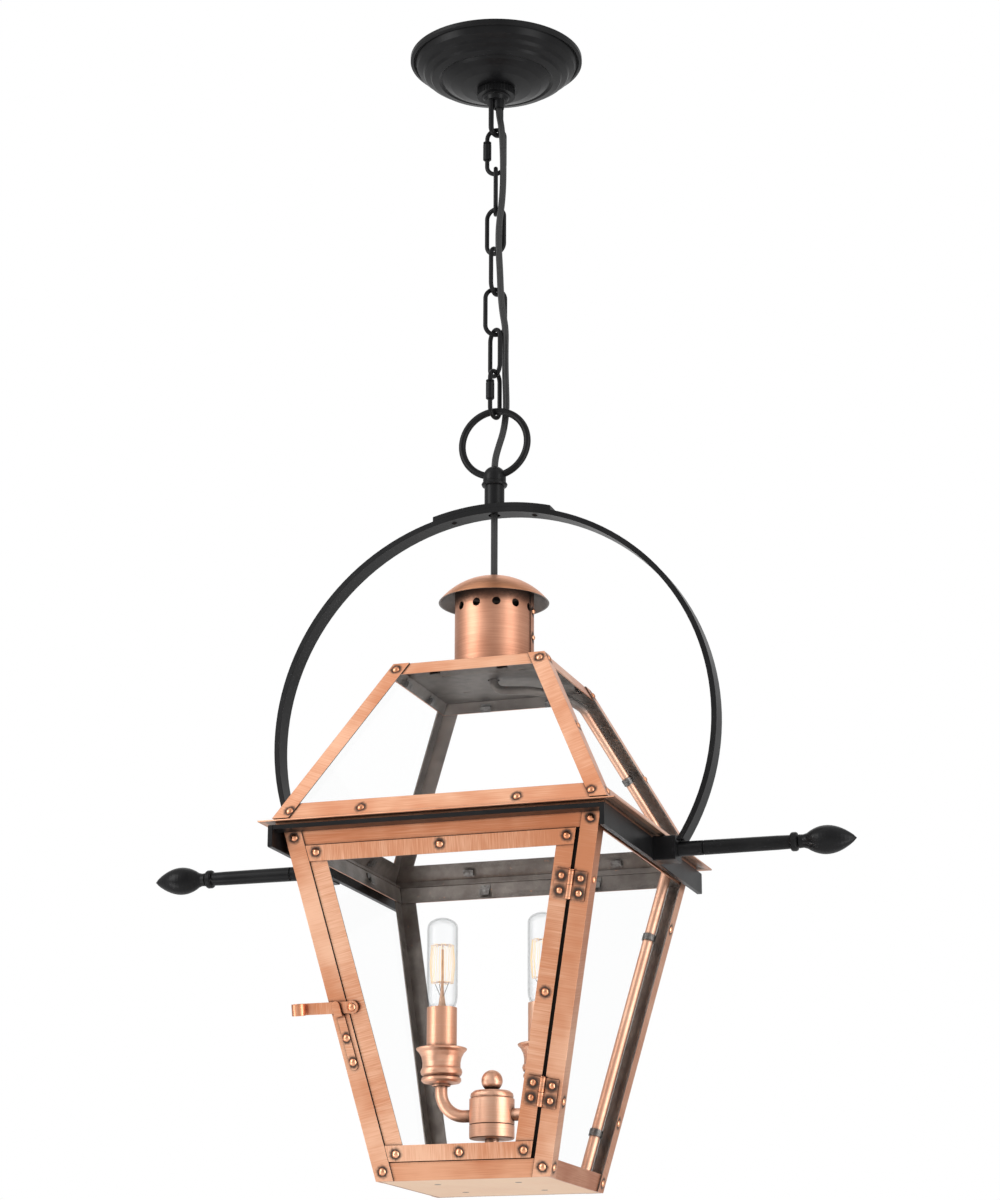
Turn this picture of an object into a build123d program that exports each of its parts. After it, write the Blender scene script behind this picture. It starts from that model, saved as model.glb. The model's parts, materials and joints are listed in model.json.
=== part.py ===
from build123d import *
import os
from math import asin, atan, cos, degrees, pi, radians, sin, sqrt, tan

# Hanging gas-style lantern in copper with a black yoke, chain and ceiling canopy.
# Millimetres. The origin is the centre of the canopy's ceiling plane, +Z is up, +X is the
# lantern's right and +Y its back, so nearly everything lies at negative Z.

# ---- driving dimensions: ceiling set -------------------------------------------------------
CANOPY_RADIUS = 68.5
SHEET = 1.2                     # spun canopy sheet
CROSSBAR = (112.0, 19.0, 2.0)   # strap inside the canopy
BOX_SCREW_SPACING = 88.9        # screws of a standard ceiling box
SLOT_WIDTH = 4.6
SLOT_LENGTH = 12.0
NIPPLE_RADIUS = 4.8
NIPPLE_BORE = 3.3
LOOP_WIRE = 4.2
LOOP_RADIUS = 5.6               # centre line of the hang loop's bend
LOOP_YAW = 65.5
LOOP_SEAT_Z = -64.2             # lowest point of the hang loop's opening
OUTLET = (3.1, -2.34)           # axis of the cord outlet tube beside the loop
OUTLET_MOUTH_Z = -45.0

# ---- driving dimensions: chain -------------------------------------------------------------
LINK_WIRE = 3.5
LINK_INNER_LENGTH = 34.44
LINK_HALF_WIDTH = 7.7           # centre line of a leg from the link's middle
QUICK_HALF_WIDTH = 7.2
LINK_GAP = 0.3                  # play where one link hangs in the next
QUICK_UPPER_YAW = 0.0
LINK_YAWS = (108.5, 168.0, 82.5, 26.5, 137.5)
QUICK_LOWER_YAW = 78.0
SLEEVE_RADIUS = 3.3
SLEEVE_LENGTH = 14.0
SLEEVE_TOP = 7.7                # sleeve's upper end from the link's middle
SLEEVE_TRAVEL = 5.0             # how far the sleeve runs down to clear the gap in the leg

# ---- driving dimensions: cord --------------------------------------------------------------
CORD_DIAMETER = 5.2
CORD_ROUTE = [
    (3.1, -2.34, -41), (3.1, -2.5, -49), (6.4, -4.8, -63), (7.6, -5.0, -82), (7.7, -4.2, -102),
    (7.6, -5.2, -119), (7.2, -7.4, -133), (4.9, -6.9, -150), (4.6, -5.8, -168),
    (5.4, -4.8, -186), (6.0, -4.6, -204), (7.5, -4.7, -220), (9.6, -2.9, -234),
    (8.3, 0.1, -250), (7.8, 2.0, -268), (7.6, 4.8, -286), (7.3, 6.0, -299),
    (5.6, 5.2, -315), (2.0, 2.0, -330), (0, 0, -341), (0, 0, -351),
]
CORD_IN_STEM_Z = -351.0
CORD_END_Z = -440.0

# ---- driving dimensions: ring, stem and yoke (heights from here on are from the eave lip) ---
EAVE_Z = -642.0
RING_RADIUS = 29.0
RING_WIRE = 5.4
STEM_RADIUS = 7.65
STEM_DOME_RADIUS = 8.8
CORD_BORE = 3.1
ARCH_RADIUS = 173.3
ARCH_CENTRE_Z = 88.1
ARCH_THICKNESS = 4.0
ARCH_WIDTH = 16.0
SADDLE_THICKNESS = 3.4
SADDLE_HALF_SPAN = 47.0
BAR_X = 122.5                   # side bars of the frame below the eave
BAR_THICKNESS = 3.4
BAR_LOW, BAR_HIGH = -18.2, -2.4
BAR_HALF_LENGTH = 131.0
CROSS_BAR_DEPTH = 12.2
CROSS_BAR_THICKNESS = 3.2
BLOCK_SIZE = 17.6
ARM_Z = -10.5
ARM_RADIUS = 5.4
STUB_END_X = 160.0
FINIAL_TIP_X = 271.8

# ---- driving dimensions: copper cage -------------------------------------------------------
STRIP = 1.0                     # thickness of a copper strip
GLASS = 2.0
EAVE_HALF = 132.0
ROOF_TOP_Z = 129.5
ROOF_TOP_HALF = 58.4
ROOF_SLOPE = -0.5227            # change of half-width with height
ROOF_LOW_Z = 3.0
FASCIA_LOW_Z = 120.0
EAVE_STRIP_HIGH_Z = 15.0
SHELF_Z = -2.3                  # underside of the eave's shelf over the cage
HIP_LEG = 12.6
BODY_TOP_Z = -2.4
BODY_LOW_Z = -247.0
BODY_LOW_HALF = 63.9
BODY_SLOPE = 0.2215
POST_LEG = 13.0
TOP_RAIL_LOW_Z = -15.1
BOTTOM_RAIL_HIGH_Z = -234.5
PANE_LOW_Z, PANE_HIGH_Z = -238.0, -11.0
ROOF_PANE_LOW_Z, ROOF_PANE_HIGH_Z = 10.5, 122.0
DOOR_HIGH_Z = -15.6
DOOR_LOW_Z = -234.0
DOOR_RAIL = 11.0
DOOR_GLASS_SEAT = 6.4           # glass edge from the door's edge
DOOR_STILE = 13.0
DOOR_LEFT_MARGIN = 13.4         # door edge from the body's corner edge
DOOR_RIGHT_MARGIN = 16.0
STOP_OVERLAP = 2.5              # how far the door's edge covers the stop frame behind it
HINGE_MARGIN = 14.45            # hinge axis from the body's corner edge
HINGE_LIFT = 1.6                # hinge axis outside the face
HINGE_ZS = (-53.5, -190.6)
HINGE_LENGTH = 20.0
KNUCKLE_RADIUS = 2.1
HINGE_PIN_RADIUS = 1.1
RIVET_RADIUS = 2.7
RIVET_HEIGHT = 1.5
TAB_WIDTH = 8.0
TAB_REACH = 4.6
PIPE_RADIUS = 29.5
PIPE_LOW_Z = 128.4
VENT_Z = 181.0
VENT_RADIUS = 3.1
CAP_RADIUS = 41.8
CAP_RIM_Z = 187.4
CAP_TOP_Z = 207.7

# ---- driving dimensions: latch and lamps ---------------------------------------------------
LATCH_Z = -128.0
LATCH_PIVOT_MARGIN = 17.2       # pivot from the body's corner edge
LATCH_LENGTH = 42.0
LATCH_HEIGHT = 8.2
LATCH_THICKNESS = 1.6
LATCH_LIFT = 2.2                # back of the lever from the copper face
CATCH_WIDTH = 5.6
CATCH_LOW_Z = -173.0
LAMP_X = 38.75
CLUSTER_RADIUS = 16.3
CLUSTER_LOW_Z, CLUSTER_HIGH_Z = -213.0, -184.0
SLEEVE_OUTER = 11.0
BULB_RADIUS = 11.25
BULB_TOP_Z = -50.8
BULB_DOME = 7.4                 # height of the rounded end
CONDUIT_RADIUS = 4.1
CLIP_HEIGHTS = (-57.0, -204.5)  # clips of the lower conduit

BIG = 400.0
parts = {}


# ---- helpers -------------------------------------------------------------------------------
def hung(shape):
    """Moves a shape modelled from the eave lip to its place under the ceiling."""
    return Pos(0, 0, EAVE_Z) * shape


def group(*shapes):
    """Separate solids that share one node."""
    return Compound(children=[solid for shape in shapes for solid in shape.solids()])


def turned(points):
    """Solid of revolution about Z from (radius, z) points."""
    wire = Polyline([(r, 0, z) for r, z in points], close=True)
    return revolve(make_face(wire), Axis.Z, 360)


def roof_half(z):
    return ROOF_TOP_HALF + (z - ROOF_TOP_Z) * ROOF_SLOPE


def body_half(z):
    return BODY_LOW_HALF + (z - BODY_LOW_Z) * BODY_SLOPE


def frustum(half, slope, low, high, inset):
    """Square pyramid slice whose faces lie `inset` inside the outer faces."""
    shift = inset * sqrt(1 + slope * slope)
    sections = [Pos(0, 0, z) * Rectangle(2 * (half(z) - shift), 2 * (half(z) - shift)) for z in (low, high)]
    return loft(sections, ruled=True)


def skin(half, slope, low, high, outer, inner):
    """The pyramid's walls between two insets, open above and below."""
    return frustum(half, slope, low, high, outer) - frustum(half, slope, low - 2, high + 2, inner)


def elevation(points):
    """Prism through the whole object from an outline seen from the front, as (x, z)."""
    face = make_face(Polyline([(x, 0, z) for x, z in points], close=True))
    return extrude(face, amount=BIG, dir=(0, 1, 0), both=True)


def front_elevation(points):
    """The same, kept to the front of the object."""
    return elevation(points) & Pos(0, -BIG / 2, 0) * Box(BIG * 2, BIG, BIG * 3)


def corner_angles(half, slope, low, high, leg, outer, inner):
    """Four L-angles along the pyramid's sloping edges."""
    a, b = low - 3, high + 3
    window = elevation([(-half(a) + leg, a), (half(a) - leg, a), (half(b) - leg, b), (-half(b) + leg, b)])
    return skin(half, slope, low, high, outer, inner) - window - Rot(0, 0, 90) * window


def quarter():
    """The wedge of the plan that belongs to the front face, just short of the diagonals."""
    face = make_face(Polyline([(0, -0.3), (-BIG, -BIG - 0.3), (BIG, -BIG - 0.3)], close=True))
    return extrude(face, amount=BIG, both=True)


QUARTER = quarter()


def all_sides(front):
    """Repeats a front piece on the four faces."""
    return group(*[Rot(0, 0, 90 * k) * front for k in range(4)])


def side_strip(profile):
    """A strip of constant (y, z) section on the front face, mitred at the corners."""
    face = make_face(Polyline([(0, y, z) for y, z in profile], close=True))
    return extrude(face, amount=BIG, dir=(1, 0, 0), both=True) & QUARTER


def sloped_profile(half, slope, low, high, outer, inner):
    k = sqrt(1 + slope * slope)
    return [(-half(low) + outer * k, low), (-half(high) + outer * k, high),
            (-half(high) + inner * k, high), (-half(low) + inner * k, low)]


def on_face(side, u, z, half, slope, lift=0.0, tilt=0.0):
    """Location on a face: local Z is the outward normal, local X runs along the face."""
    n = Vector(0, -1, -slope).normalized()
    plane = Plane(origin=Vector(u, -half(z), z) + n * lift, x_dir=(1, 0, 0), z_dir=n)
    return Rot(0, 0, 90 * side) * plane.location * Rot(0, 0, tilt)


def rivet_head(radius=RIVET_RADIUS, height=RIVET_HEIGHT):
    """Domed head with its flat side on local Z = 0."""
    ball = (radius ** 2 + height ** 2) / (2 * height)
    dome = Pos(0, 0, height - ball) * Sphere(ball)
    return dome & Pos(0, 0, height) * Box(3 * radius, 3 * radius, 2 * height)


HEAD = rivet_head()


def rivets(places, head=HEAD):
    return group(*[place * head for place in places])


def tube(points, radius, radii=None):
    """Round bar along straight runs joined by tangent arcs."""
    v = [Vector(*p) for p in points]
    if radii is None:
        radii = []
        for a, b, c in zip(v, v[1:], v[2:]):
            half_turn = radians((b - a).get_angle(c - b)) / 2
            radii.append(0.45 * min((b - a).length, (c - b).length) / tan(half_turn))
    path = FilletPolyline(*v, radius=radii) if radii else Line(v[0], v[-1])
    section = Plane(origin=path @ 0, z_dir=path % 0) * Circle(radius)
    return sweep(section, path=path), path, radii


# ---- ceiling set ---------------------------------------------------------------------------
def canopy_dish():
    outer = [(CANOPY_RADIUS, 0), (CANOPY_RADIUS, -3.2), (66.2, -4.0), (64.8, -3.0), (62.6, -8.6),
             (58.4, -11.4), (57.0, -13.8), (52.6, -15.6), (51.2, -17.6), (45.6, -19.0), (43.6, -18.2),
             (41.2, -20.2), (36.0, -22.9), (28.0, -25.4), (18.0, -27.0), (5.2, -27.2)]
    inner = [(max(r - 0.3, 5.2) if i else CANOPY_RADIUS - SHEET, min(z + SHEET, 0))
             for i, (r, z) in enumerate(outer)]
    inner[0] = (CANOPY_RADIUS - SHEET, 0)
    inner[1] = (CANOPY_RADIUS - SHEET, -2.2)
    inner[2] = (65.6, -2.6)
    inner[3] = (64.2, -1.6)
    return turned(outer + inner[::-1])


def ceiling_crossbar():
    length, width, thickness = CROSSBAR
    bar = Pos(0, 0, -thickness / 2) * Box(length, width, thickness)
    slots = [Pos(s * BOX_SCREW_SPACING / 2, 0, 0) * SlotOverall(SLOT_LENGTH, SLOT_WIDTH) for s in (-1, 1)]
    for slot in slots:
        bar -= extrude(slot, amount=2 * thickness, both=True)
    return bar - Cylinder(NIPPLE_RADIUS + 0.1, 10)


def ring_of(outer, inner, low, high):
    return turned([(inner, low), (outer, low), (outer, high), (inner, high)])


def knurled_collar():
    ring = ring_of(15.0, 11.2, -33.2, -27.4)
    groove = Pos(15.3, 0, -30) * Rot(0, 0, 45) * Box(1.0, 1.0, 10)
    for angle in range(0, 360, 10):
        ring -= Rot(0, 0, angle) * groove
    return ring


def hang_loop():
    hub = turned([(0, -27.4), (11.0, -27.4), (11.0, -33.6), (9.4, -34.4), (8.6, -37.6), (0, -37.6)])
    bend_z = LOOP_SEAT_Z + LOOP_RADIUS - LOOP_WIRE / 2
    top = -36.0
    leg = Pos(0, 0, (top + bend_z) / 2) * Cylinder(LOOP_WIRE / 2, top - bend_z)
    bend = Pos(0, 0, bend_z) * Rot(90, 0, 0) * Torus(LOOP_RADIUS, LOOP_WIRE / 2)
    bend &= Pos(0, 0, bend_z - 20) * Box(60, 60, 40)
    loop = Rot(0, 0, LOOP_YAW) * (Pos(-LOOP_RADIUS, 0, 0) * leg + Pos(LOOP_RADIUS, 0, 0) * leg + bend)
    outlet = Pos(OUTLET[0], OUTLET[1], (OUTLET_MOUTH_Z - 36) / 2) * Cylinder(4.2, -36 - OUTLET_MOUTH_Z)
    bore = Pos(OUTLET[0], OUTLET[1], (OUTLET_MOUTH_Z - 35) / 2) * Cylinder(3.2, -31 - OUTLET_MOUTH_Z)
    body = hub + loop + outlet
    body -= Pos(0, 0, -30.5) * Cylinder(NIPPLE_RADIUS + 0.1, 7)
    return body - (bore & Pos(0, 0, -60) * Box(60, 60, 58.0))


# ---- chain ---------------------------------------------------------------------------------
def oval(half_width):
    """Closed wire link in the XZ plane about its own centre."""
    straight = LINK_INNER_LENGTH / 2 + LINK_WIRE / 2 - half_width
    legs = [Pos(s * half_width, 0, 0) * Cylinder(LINK_WIRE / 2, 2 * straight) for s in (-1, 1)]
    link = legs[0] + legs[1]
    for s in (-1, 1):
        bend = Pos(0, 0, s * straight) * Rot(90, 0, 0) * Torus(half_width, LINK_WIRE / 2)
        link += bend & Pos(0, 0, s * (straight + 25)) * Box(60, 60, 50)
    return link


def link_centre(index):
    return LOOP_SEAT_Z + LINK_GAP - LINK_INNER_LENGTH / 2 - index * (LINK_INNER_LENGTH - LINK_GAP)


def quick_link(index, yaw):
    """Link with a gap in one leg, the threaded ends and the stop flange above the sleeve."""
    link = oval(QUICK_HALF_WIDTH)
    gap = LINK_WIRE + 0.1
    gap_low = SLEEVE_TOP - SLEEVE_TRAVEL + 0.1
    link -= Pos(-QUICK_HALF_WIDTH, 0, gap_low + gap / 2) * Box(8, 8, gap)
    link += Pos(-QUICK_HALF_WIDTH, 0, SLEEVE_TOP + 0.9) * Cylinder(SLEEVE_RADIUS - 0.1, 1.2)
    sleeve_z = SLEEVE_TOP - SLEEVE_LENGTH / 2
    sleeve = Pos(-QUICK_HALF_WIDTH, 0, sleeve_z) * Cylinder(SLEEVE_RADIUS, SLEEVE_LENGTH)
    sleeve = chamfer(sleeve.edges().filter_by(GeomType.CIRCLE), 0.6)
    sleeve -= Pos(-QUICK_HALF_WIDTH, 0, 0) * Cylinder(LINK_WIRE / 2 + 0.05, 60)
    place = Pos(0, 0, link_centre(index)) * Rot(0, 0, yaw)
    return place * link, place * sleeve


# ---- ring, stem and yoke -------------------------------------------------------------------
RING_CENTRE_Z = link_centre(6) - LINK_INNER_LENGTH / 2 + LINK_GAP + RING_WIRE - RING_RADIUS - EAVE_Z
STEM_SPHERE_Z = RING_CENTRE_Z - RING_RADIUS + 1.5
SADDLE_TOP_Z = ARCH_CENTRE_Z + ARCH_RADIUS + SADDLE_THICKNESS


def ring_and_stem():
    ring = Pos(0, 0, RING_CENTRE_Z) * Rot(90, 0, 0) * Torus(RING_RADIUS - RING_WIRE / 2, RING_WIRE / 2)
    dome = Pos(0, 0, STEM_SPHERE_Z) * Sphere(STEM_DOME_RADIUS)
    dome &= Pos(0, 0, STEM_SPHERE_Z + 20) * Box(60, 60, 40)
    shank = turned([(0, SADDLE_TOP_Z - 3), (STEM_RADIUS, SADDLE_TOP_Z - 3), (STEM_RADIUS, 280.4),
                    (9.4, 280.8), (10.0, 282.2), (9.4, 283.4), (8.4, 283.8), (8.4, 284.4),
                    (STEM_DOME_RADIUS, 285.0),
                    (STEM_DOME_RADIUS, STEM_SPHERE_Z), (0, STEM_SPHERE_Z)])
    stem = dome + shank
    stem -= Pos(0, 0, ARCH_CENTRE_Z) * Rot(90, 0, 0) * Cylinder(SADDLE_TOP_Z - ARCH_CENTRE_Z, 40)
    bore = Pos(0, 0, 280) * Cylinder(CORD_BORE, 60)
    ring -= bore
    stem -= bore
    return ring, stem - ring


def arc_strip(inner, outer):
    ring = Cylinder(outer, ARCH_WIDTH) - Cylinder(inner, ARCH_WIDTH + 1)
    return Pos(0, 0, ARCH_CENTRE_Z) * Rot(90, 0, 0) * ring


def arch_band():
    band = arc_strip(ARCH_RADIUS - ARCH_THICKNESS, ARCH_RADIUS)
    band -= Pos(0, 0, ARM_Z + ARM_RADIUS + 0.3 - BIG / 2) * Box(BIG * 2, 60, BIG)
    return band - Pos(0, 0, 260) * Cylinder(4.6, 30)


def arch_saddle():
    strip = arc_strip(ARCH_RADIUS, ARCH_RADIUS + SADDLE_THICKNESS)
    foot, top = SADDLE_HALF_SPAN, SADDLE_HALF_SPAN - 4.0
    keep = elevation([(-foot, 200), (foot, 200), (foot, 258), (top, 300), (-top, 300), (-foot, 258)])
    return (strip & keep) - Pos(0, 0, 260) * Cylinder(CORD_BORE, 30)


def arch_screws():
    places = []
    for s in (-1, 1):
        angle = degrees(asin(33.0 / ARCH_RADIUS)) * s
        r = ARCH_RADIUS - ARCH_THICKNESS - 0.05
        places.append(Pos(0, 0, ARCH_CENTRE_Z) * Rot(0, angle, 0) * Pos(0, 0, r) * Rot(180, 0, 0))
    return rivets(places, rivet_head(2.4, 1.2))


def side_bar(s):
    bar = Box(BAR_THICKNESS, 2 * BAR_HALF_LENGTH, BAR_HIGH - BAR_LOW)
    bar = Pos(s * BAR_X, 0, (BAR_LOW + BAR_HIGH) / 2) * bar
    return fillet(bar.edges().filter_by(Axis.X), 1.2)


def cross_bar(s):
    y = BAR_HALF_LENGTH - 0.4 - CROSS_BAR_DEPTH / 2
    length = 2 * (BAR_X - BAR_THICKNESS / 2)
    z = BAR_HIGH - 0.2 - CROSS_BAR_THICKNESS / 2
    return Pos(0, s * y, z) * Box(length, CROSS_BAR_DEPTH, CROSS_BAR_THICKNESS)


def about_x(points, s):
    """Solid of revolution about the arms' axis from (x, radius) points, for side s."""
    solid = turned([(r, x) for x, r in points])
    return Pos(0, 0, ARM_Z) * Rot(0, 90 * s, 0) * solid


def yoke_block(s):
    x = BAR_X + BAR_THICKNESS / 2
    block = Pos(s * (x + BLOCK_SIZE / 2 - 0.4), 0, ARM_Z) * Box(BLOCK_SIZE - 0.8, BLOCK_SIZE, BLOCK_SIZE)
    block = chamfer(block.edges().filter_by(Axis.X), 0.8)
    end = x + BLOCK_SIZE - 1.2
    tip = STUB_END_X - 0.2
    profile = [(end - 1, 0), (end - 1, ARM_RADIUS), (tip - 0.4, ARM_RADIUS), (tip, 4.9), (tip, 0)]
    return block + about_x(profile, s)


def yoke_arm(s):
    profile = [(STUB_END_X, 0), (STUB_END_X, 4.9), (STUB_END_X + 0.5, ARM_RADIUS), (214.0, 5.2), (223.6, 5.0),
               (224.4, 6.4), (225.4, 6.9), (227.8, 6.9), (228.8, 6.4), (229.4, 5.0), (230.0, 0)]
    return about_x(profile, s)


def finial(s):
    steps = 14
    start, radius = 236.0, 10.4
    profile = [(230.2, 0), (230.2, 5.0), (233.2, 4.8), (234.6, 5.2)]
    for i in range(steps + 1):
        t = i / steps
        swell = max(sin(pi * (0.13 + 0.87 * t) ** 0.92), 0.0) if i < steps else 0.0
        profile.append((start + t * (FINIAL_TIP_X - start), radius * swell ** 0.8))
    return about_x(profile, s)


# ---- copper roof ---------------------------------------------------------------------------
def eave_strips():
    """Sloping strips with a turned-out lip and a level shelf that reaches over the cage's top."""
    k = sqrt(1 + ROOF_SLOPE ** 2)
    profile = sloped_profile(roof_half, ROOF_SLOPE, ROOF_LOW_Z, EAVE_STRIP_HIGH_Z, STRIP, 2 * STRIP)
    inner = roof_half(ROOF_LOW_Z) - 2 * STRIP * k
    shelf = body_half(BODY_TOP_Z) - STOP_OVERLAP
    lip = [(-shelf, SHELF_Z), (-inner, SHELF_Z), (-inner, 1.8), (-EAVE_HALF + 4, 0.3), (-EAVE_HALF, 0.0),
           (-EAVE_HALF, 0.9), (-EAVE_HALF + 4, 1.3), (-inner - STRIP * k, ROOF_LOW_Z),
           (-inner + STRIP, ROOF_LOW_Z), (-inner + STRIP, SHELF_Z + STRIP), (-shelf, SHELF_Z + STRIP)]
    return all_sides(side_strip(profile) + side_strip(lip))


def pane(half, slope, low, high, margin, outer):
    k = sqrt(1 + slope * slope)
    profile = sloped_profile(half, slope, low, high, outer, outer + GLASS)
    face = make_face(Polyline([(0, y, z) for y, z in profile], close=True))
    slab = extrude(face, amount=BIG, dir=(1, 0, 0), both=True)
    a, b = low - 1, high + 1
    m = margin * k
    outline = elevation([(-half(a) + m, a), (half(a) - m, a), (half(b) - m, b), (-half(b) + m, b)])
    return slab & outline


def roof_rivets():
    """Heads on the fascia and the eave strips of every face, and half-way up all but the front's hips."""
    places = []
    for side in range(4):
        heights = ((124.5, 5.6), (64.3, 5.6), (9.0, 9.5)) if side else ((124.5, 5.6), (9.0, 9.5))
        for s in (-1, 1):
            for z, margin in heights:
                places.append(on_face(side, s * (roof_half(z) - margin), z, roof_half, ROOF_SLOPE))
            places.append(on_face(side, s * 58.0, 8.6, roof_half, ROOF_SLOPE, -STRIP))
    return rivets(places)


def chimney_pipe():
    pipe = ring_of(PIPE_RADIUS, PIPE_RADIUS - 1.0, PIPE_LOW_Z, 196.6)
    lap = ring_of(PIPE_RADIUS + 0.9, PIPE_RADIUS, PIPE_LOW_Z, 195.8)
    seam, reach = -5.0, 17.0
    rays = [(60 * cos(radians(a)), 60 * sin(radians(a))) for a in (seam, seam + reach)]
    face = make_face(Polyline([(0, 0)] + rays, close=True))
    pipe += lap & Pos(0, 0, 100) * extrude(face, amount=150)
    for i in range(12):
        vent = Pos(PIPE_RADIUS, 0, VENT_Z) * Rot(0, 90, 0) * Cylinder(VENT_RADIUS, 8)
        pipe -= Rot(0, 0, -68 + 30 * i) * vent
    return pipe


def pipe_rivets():
    places = [Rot(0, 0, 4.0) * Pos(PIPE_RADIUS + 0.95, 0, z) * Rot(0, 90, 0) for z in (136.0, 158.5, 179.0)]
    return rivets(places, rivet_head(2.3, 1.5))


def chimney_cap():
    rise = CAP_TOP_Z - CAP_RIM_Z
    ball = (CAP_RADIUS ** 2 + rise ** 2) / (2 * rise)
    centre = Pos(0, 0, CAP_TOP_Z - ball)
    shell = centre * Sphere(ball) - centre * Sphere(ball - 1.0)
    shell &= Pos(0, 0, CAP_RIM_Z + 50) * Box(200, 200, 100)
    return shell - Pos(0, 0, CAP_TOP_Z) * Cylinder(CORD_BORE, 20)


def roof_top_plate():
    half = roof_half(128.4) - 2.6
    plate = Pos(0, 0, 127.8) * Box(2 * half, 2 * half, 1.2)
    plate -= Pos(0, 0, 127.8) * Cylinder(4.6, 10)
    for x, y in ((-30, -22), (30, -22), (-30, 26), (20, 34), (-8, -38)):
        plate -= Pos(x, y, 127.8) * Box(6.0, 1.4, 10)
    return plate


# ---- copper body ---------------------------------------------------------------------------
def bottom_plate():
    half = body_half(BODY_LOW_Z) - 2.3
    plate = Pos(0, 0, BODY_LOW_Z + 0.7) * Box(2 * half, 2 * half, 1.2)
    for x, y in ((-30, -30), (30, -30), (-30, 30), (30, 30)):
        plate -= Pos(x, y, BODY_LOW_Z) * Box(5.0, 1.2, 10)
    return plate


def body_rivets():
    places = []
    for side in range(4):
        for s in (-1, 1):
            for z, margin in ((-9.5, 6.4), (-240.6, 6.6)):
                places.append(on_face(side, s * (body_half(z) - margin), z, body_half, BODY_SLOPE))
            if side:
                for z in (-50.0, -197.0):
                    places.append(on_face(side, s * (body_half(z) - 7.6), z, body_half, BODY_SLOPE))
    return rivets(places)


def tab(foot, lift):
    """Bent tab that holds a pane: foot on the copper, lip over the glass."""
    base = Pos(0, -foot / 2, 0.4) * Box(TAB_WIDTH, foot, 0.8)
    wall = Pos(0, -0.4, lift / 2) * Box(TAB_WIDTH, 0.8, lift)
    lip = Pos(0, TAB_REACH / 2 - 0.8, lift + 0.3) * Box(TAB_WIDTH, TAB_REACH, 0.6)
    return base + wall + lip


def inside_face(side, u, z, half, slope, inset, up):
    """Location on the inside of a strip: local Z points into the lantern."""
    n = Vector(0, 1, slope).normalized()
    plane = Plane(origin=Vector(u, -half(z), z) + n * inset, x_dir=(-up, 0, 0), z_dir=n)
    return Rot(0, 0, 90 * side) * plane.location


def clip_gap(slope):
    """Room between a tab and the level edge of its sloping pane."""
    return 0.4 + (2 * STRIP + GLASS + 0.2) * abs(slope)


def glass_clips():
    lift = GLASS + 0.4
    body_tab, roof_tab = tab(5.0, lift), tab(2.4, lift)
    inset = 2 * STRIP + 0.02
    gap, roof_gap = clip_gap(BODY_SLOPE), clip_gap(ROOF_SLOPE)
    body, roof = [], []

    def body_place(side, u, z, up):
        body.append(inside_face(side, u, z, body_half, BODY_SLOPE, inset, up))

    def roof_place(side, u, z, up):
        roof.append(inside_face(side, u, z, roof_half, ROOF_SLOPE, inset, up))

    for side in range(4):
        for s in (-1, 1):
            if side:
                body_place(side, s * 45, PANE_HIGH_Z + gap, -1)
                body_place(side, s * 30, PANE_LOW_Z - gap, 1)
            roof_place(side, s * 60, ROOF_PANE_LOW_Z - roof_gap, 1)
            roof_place(side, s * 26, ROOF_PANE_HIGH_Z + roof_gap, -1)
    return group(*[place * body_tab for place in body], *[place * roof_tab for place in roof])


# ---- door, hinges and latch ----------------------------------------------------------------
def door_outline(low, high, left, right):
    return [(-body_half(low) + left, low), (body_half(low) - right, low),
            (body_half(high) - right, high), (-body_half(high) + left, high)]


def door_stop():
    """Four thin strips behind the door's edges, on the back of the posts and rails."""
    back = 2 * STRIP + 0.05
    low, high = BODY_LOW_Z + 7.0, BODY_TOP_Z - 7.0
    window_low, window_high = DOOR_LOW_Z + STOP_OVERLAP, DOOR_HIGH_Z - STOP_OVERLAP
    sheet = skin(body_half, BODY_SLOPE, low, high, back, back + STRIP)
    edge = front_elevation(door_outline(low - 1, high + 1, 6.0, 6.0))
    left, right = DOOR_LEFT_MARGIN + STOP_OVERLAP, DOOR_RIGHT_MARGIN + STOP_OVERLAP
    between = front_elevation(door_outline(low - 1, high + 1, left, right))
    middle = front_elevation(door_outline(low - 1, high + 1, left + 0.1, right + 0.1))
    window = front_elevation(door_outline(window_low, window_high, left, right))
    return group((sheet & edge) - between, (sheet & middle) - window)


def door_rails():
    layer = skin(body_half, BODY_SLOPE, DOOR_LOW_Z, DOOR_HIGH_Z, 0, STRIP)
    outline = door_outline(DOOR_LOW_Z - 1, DOOR_HIGH_Z + 1, DOOR_LEFT_MARGIN, DOOR_RIGHT_MARGIN)
    middle = (DOOR_LOW_Z + DOOR_HIGH_Z) / 2
    gap = Pos(0, 0, middle) * Box(BIG, BIG * 2, DOOR_HIGH_Z - DOOR_LOW_Z - 2 * DOOR_RAIL)
    return (layer & front_elevation(outline)) - gap


def door_stiles():
    layer = skin(body_half, BODY_SLOPE, DOOR_LOW_Z + 0.4, DOOR_HIGH_Z - 0.4, STRIP, 2 * STRIP)
    low, high = DOOR_LOW_Z - 1, DOOR_HIGH_Z + 1
    outline = front_elevation(door_outline(low, high, DOOR_LEFT_MARGIN + 0.2, DOOR_RIGHT_MARGIN + 0.2))
    window = door_outline(low, high, DOOR_LEFT_MARGIN + DOOR_STILE, DOOR_RIGHT_MARGIN + DOOR_STILE)
    return (layer & outline) - elevation(window)


def door_glass():
    low, high = DOOR_LOW_Z + DOOR_GLASS_SEAT, DOOR_HIGH_Z - DOOR_GLASS_SEAT
    k = sqrt(1 + BODY_SLOPE ** 2)
    layer = skin(body_half, BODY_SLOPE, low, high, 2 * STRIP + 0.1, 2 * STRIP + 0.1 + GLASS)
    outline = door_outline(low - 1, high + 1, DOOR_LEFT_MARGIN + 3 * k, DOOR_RIGHT_MARGIN + 3 * k)
    return layer & front_elevation(outline)


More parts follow.
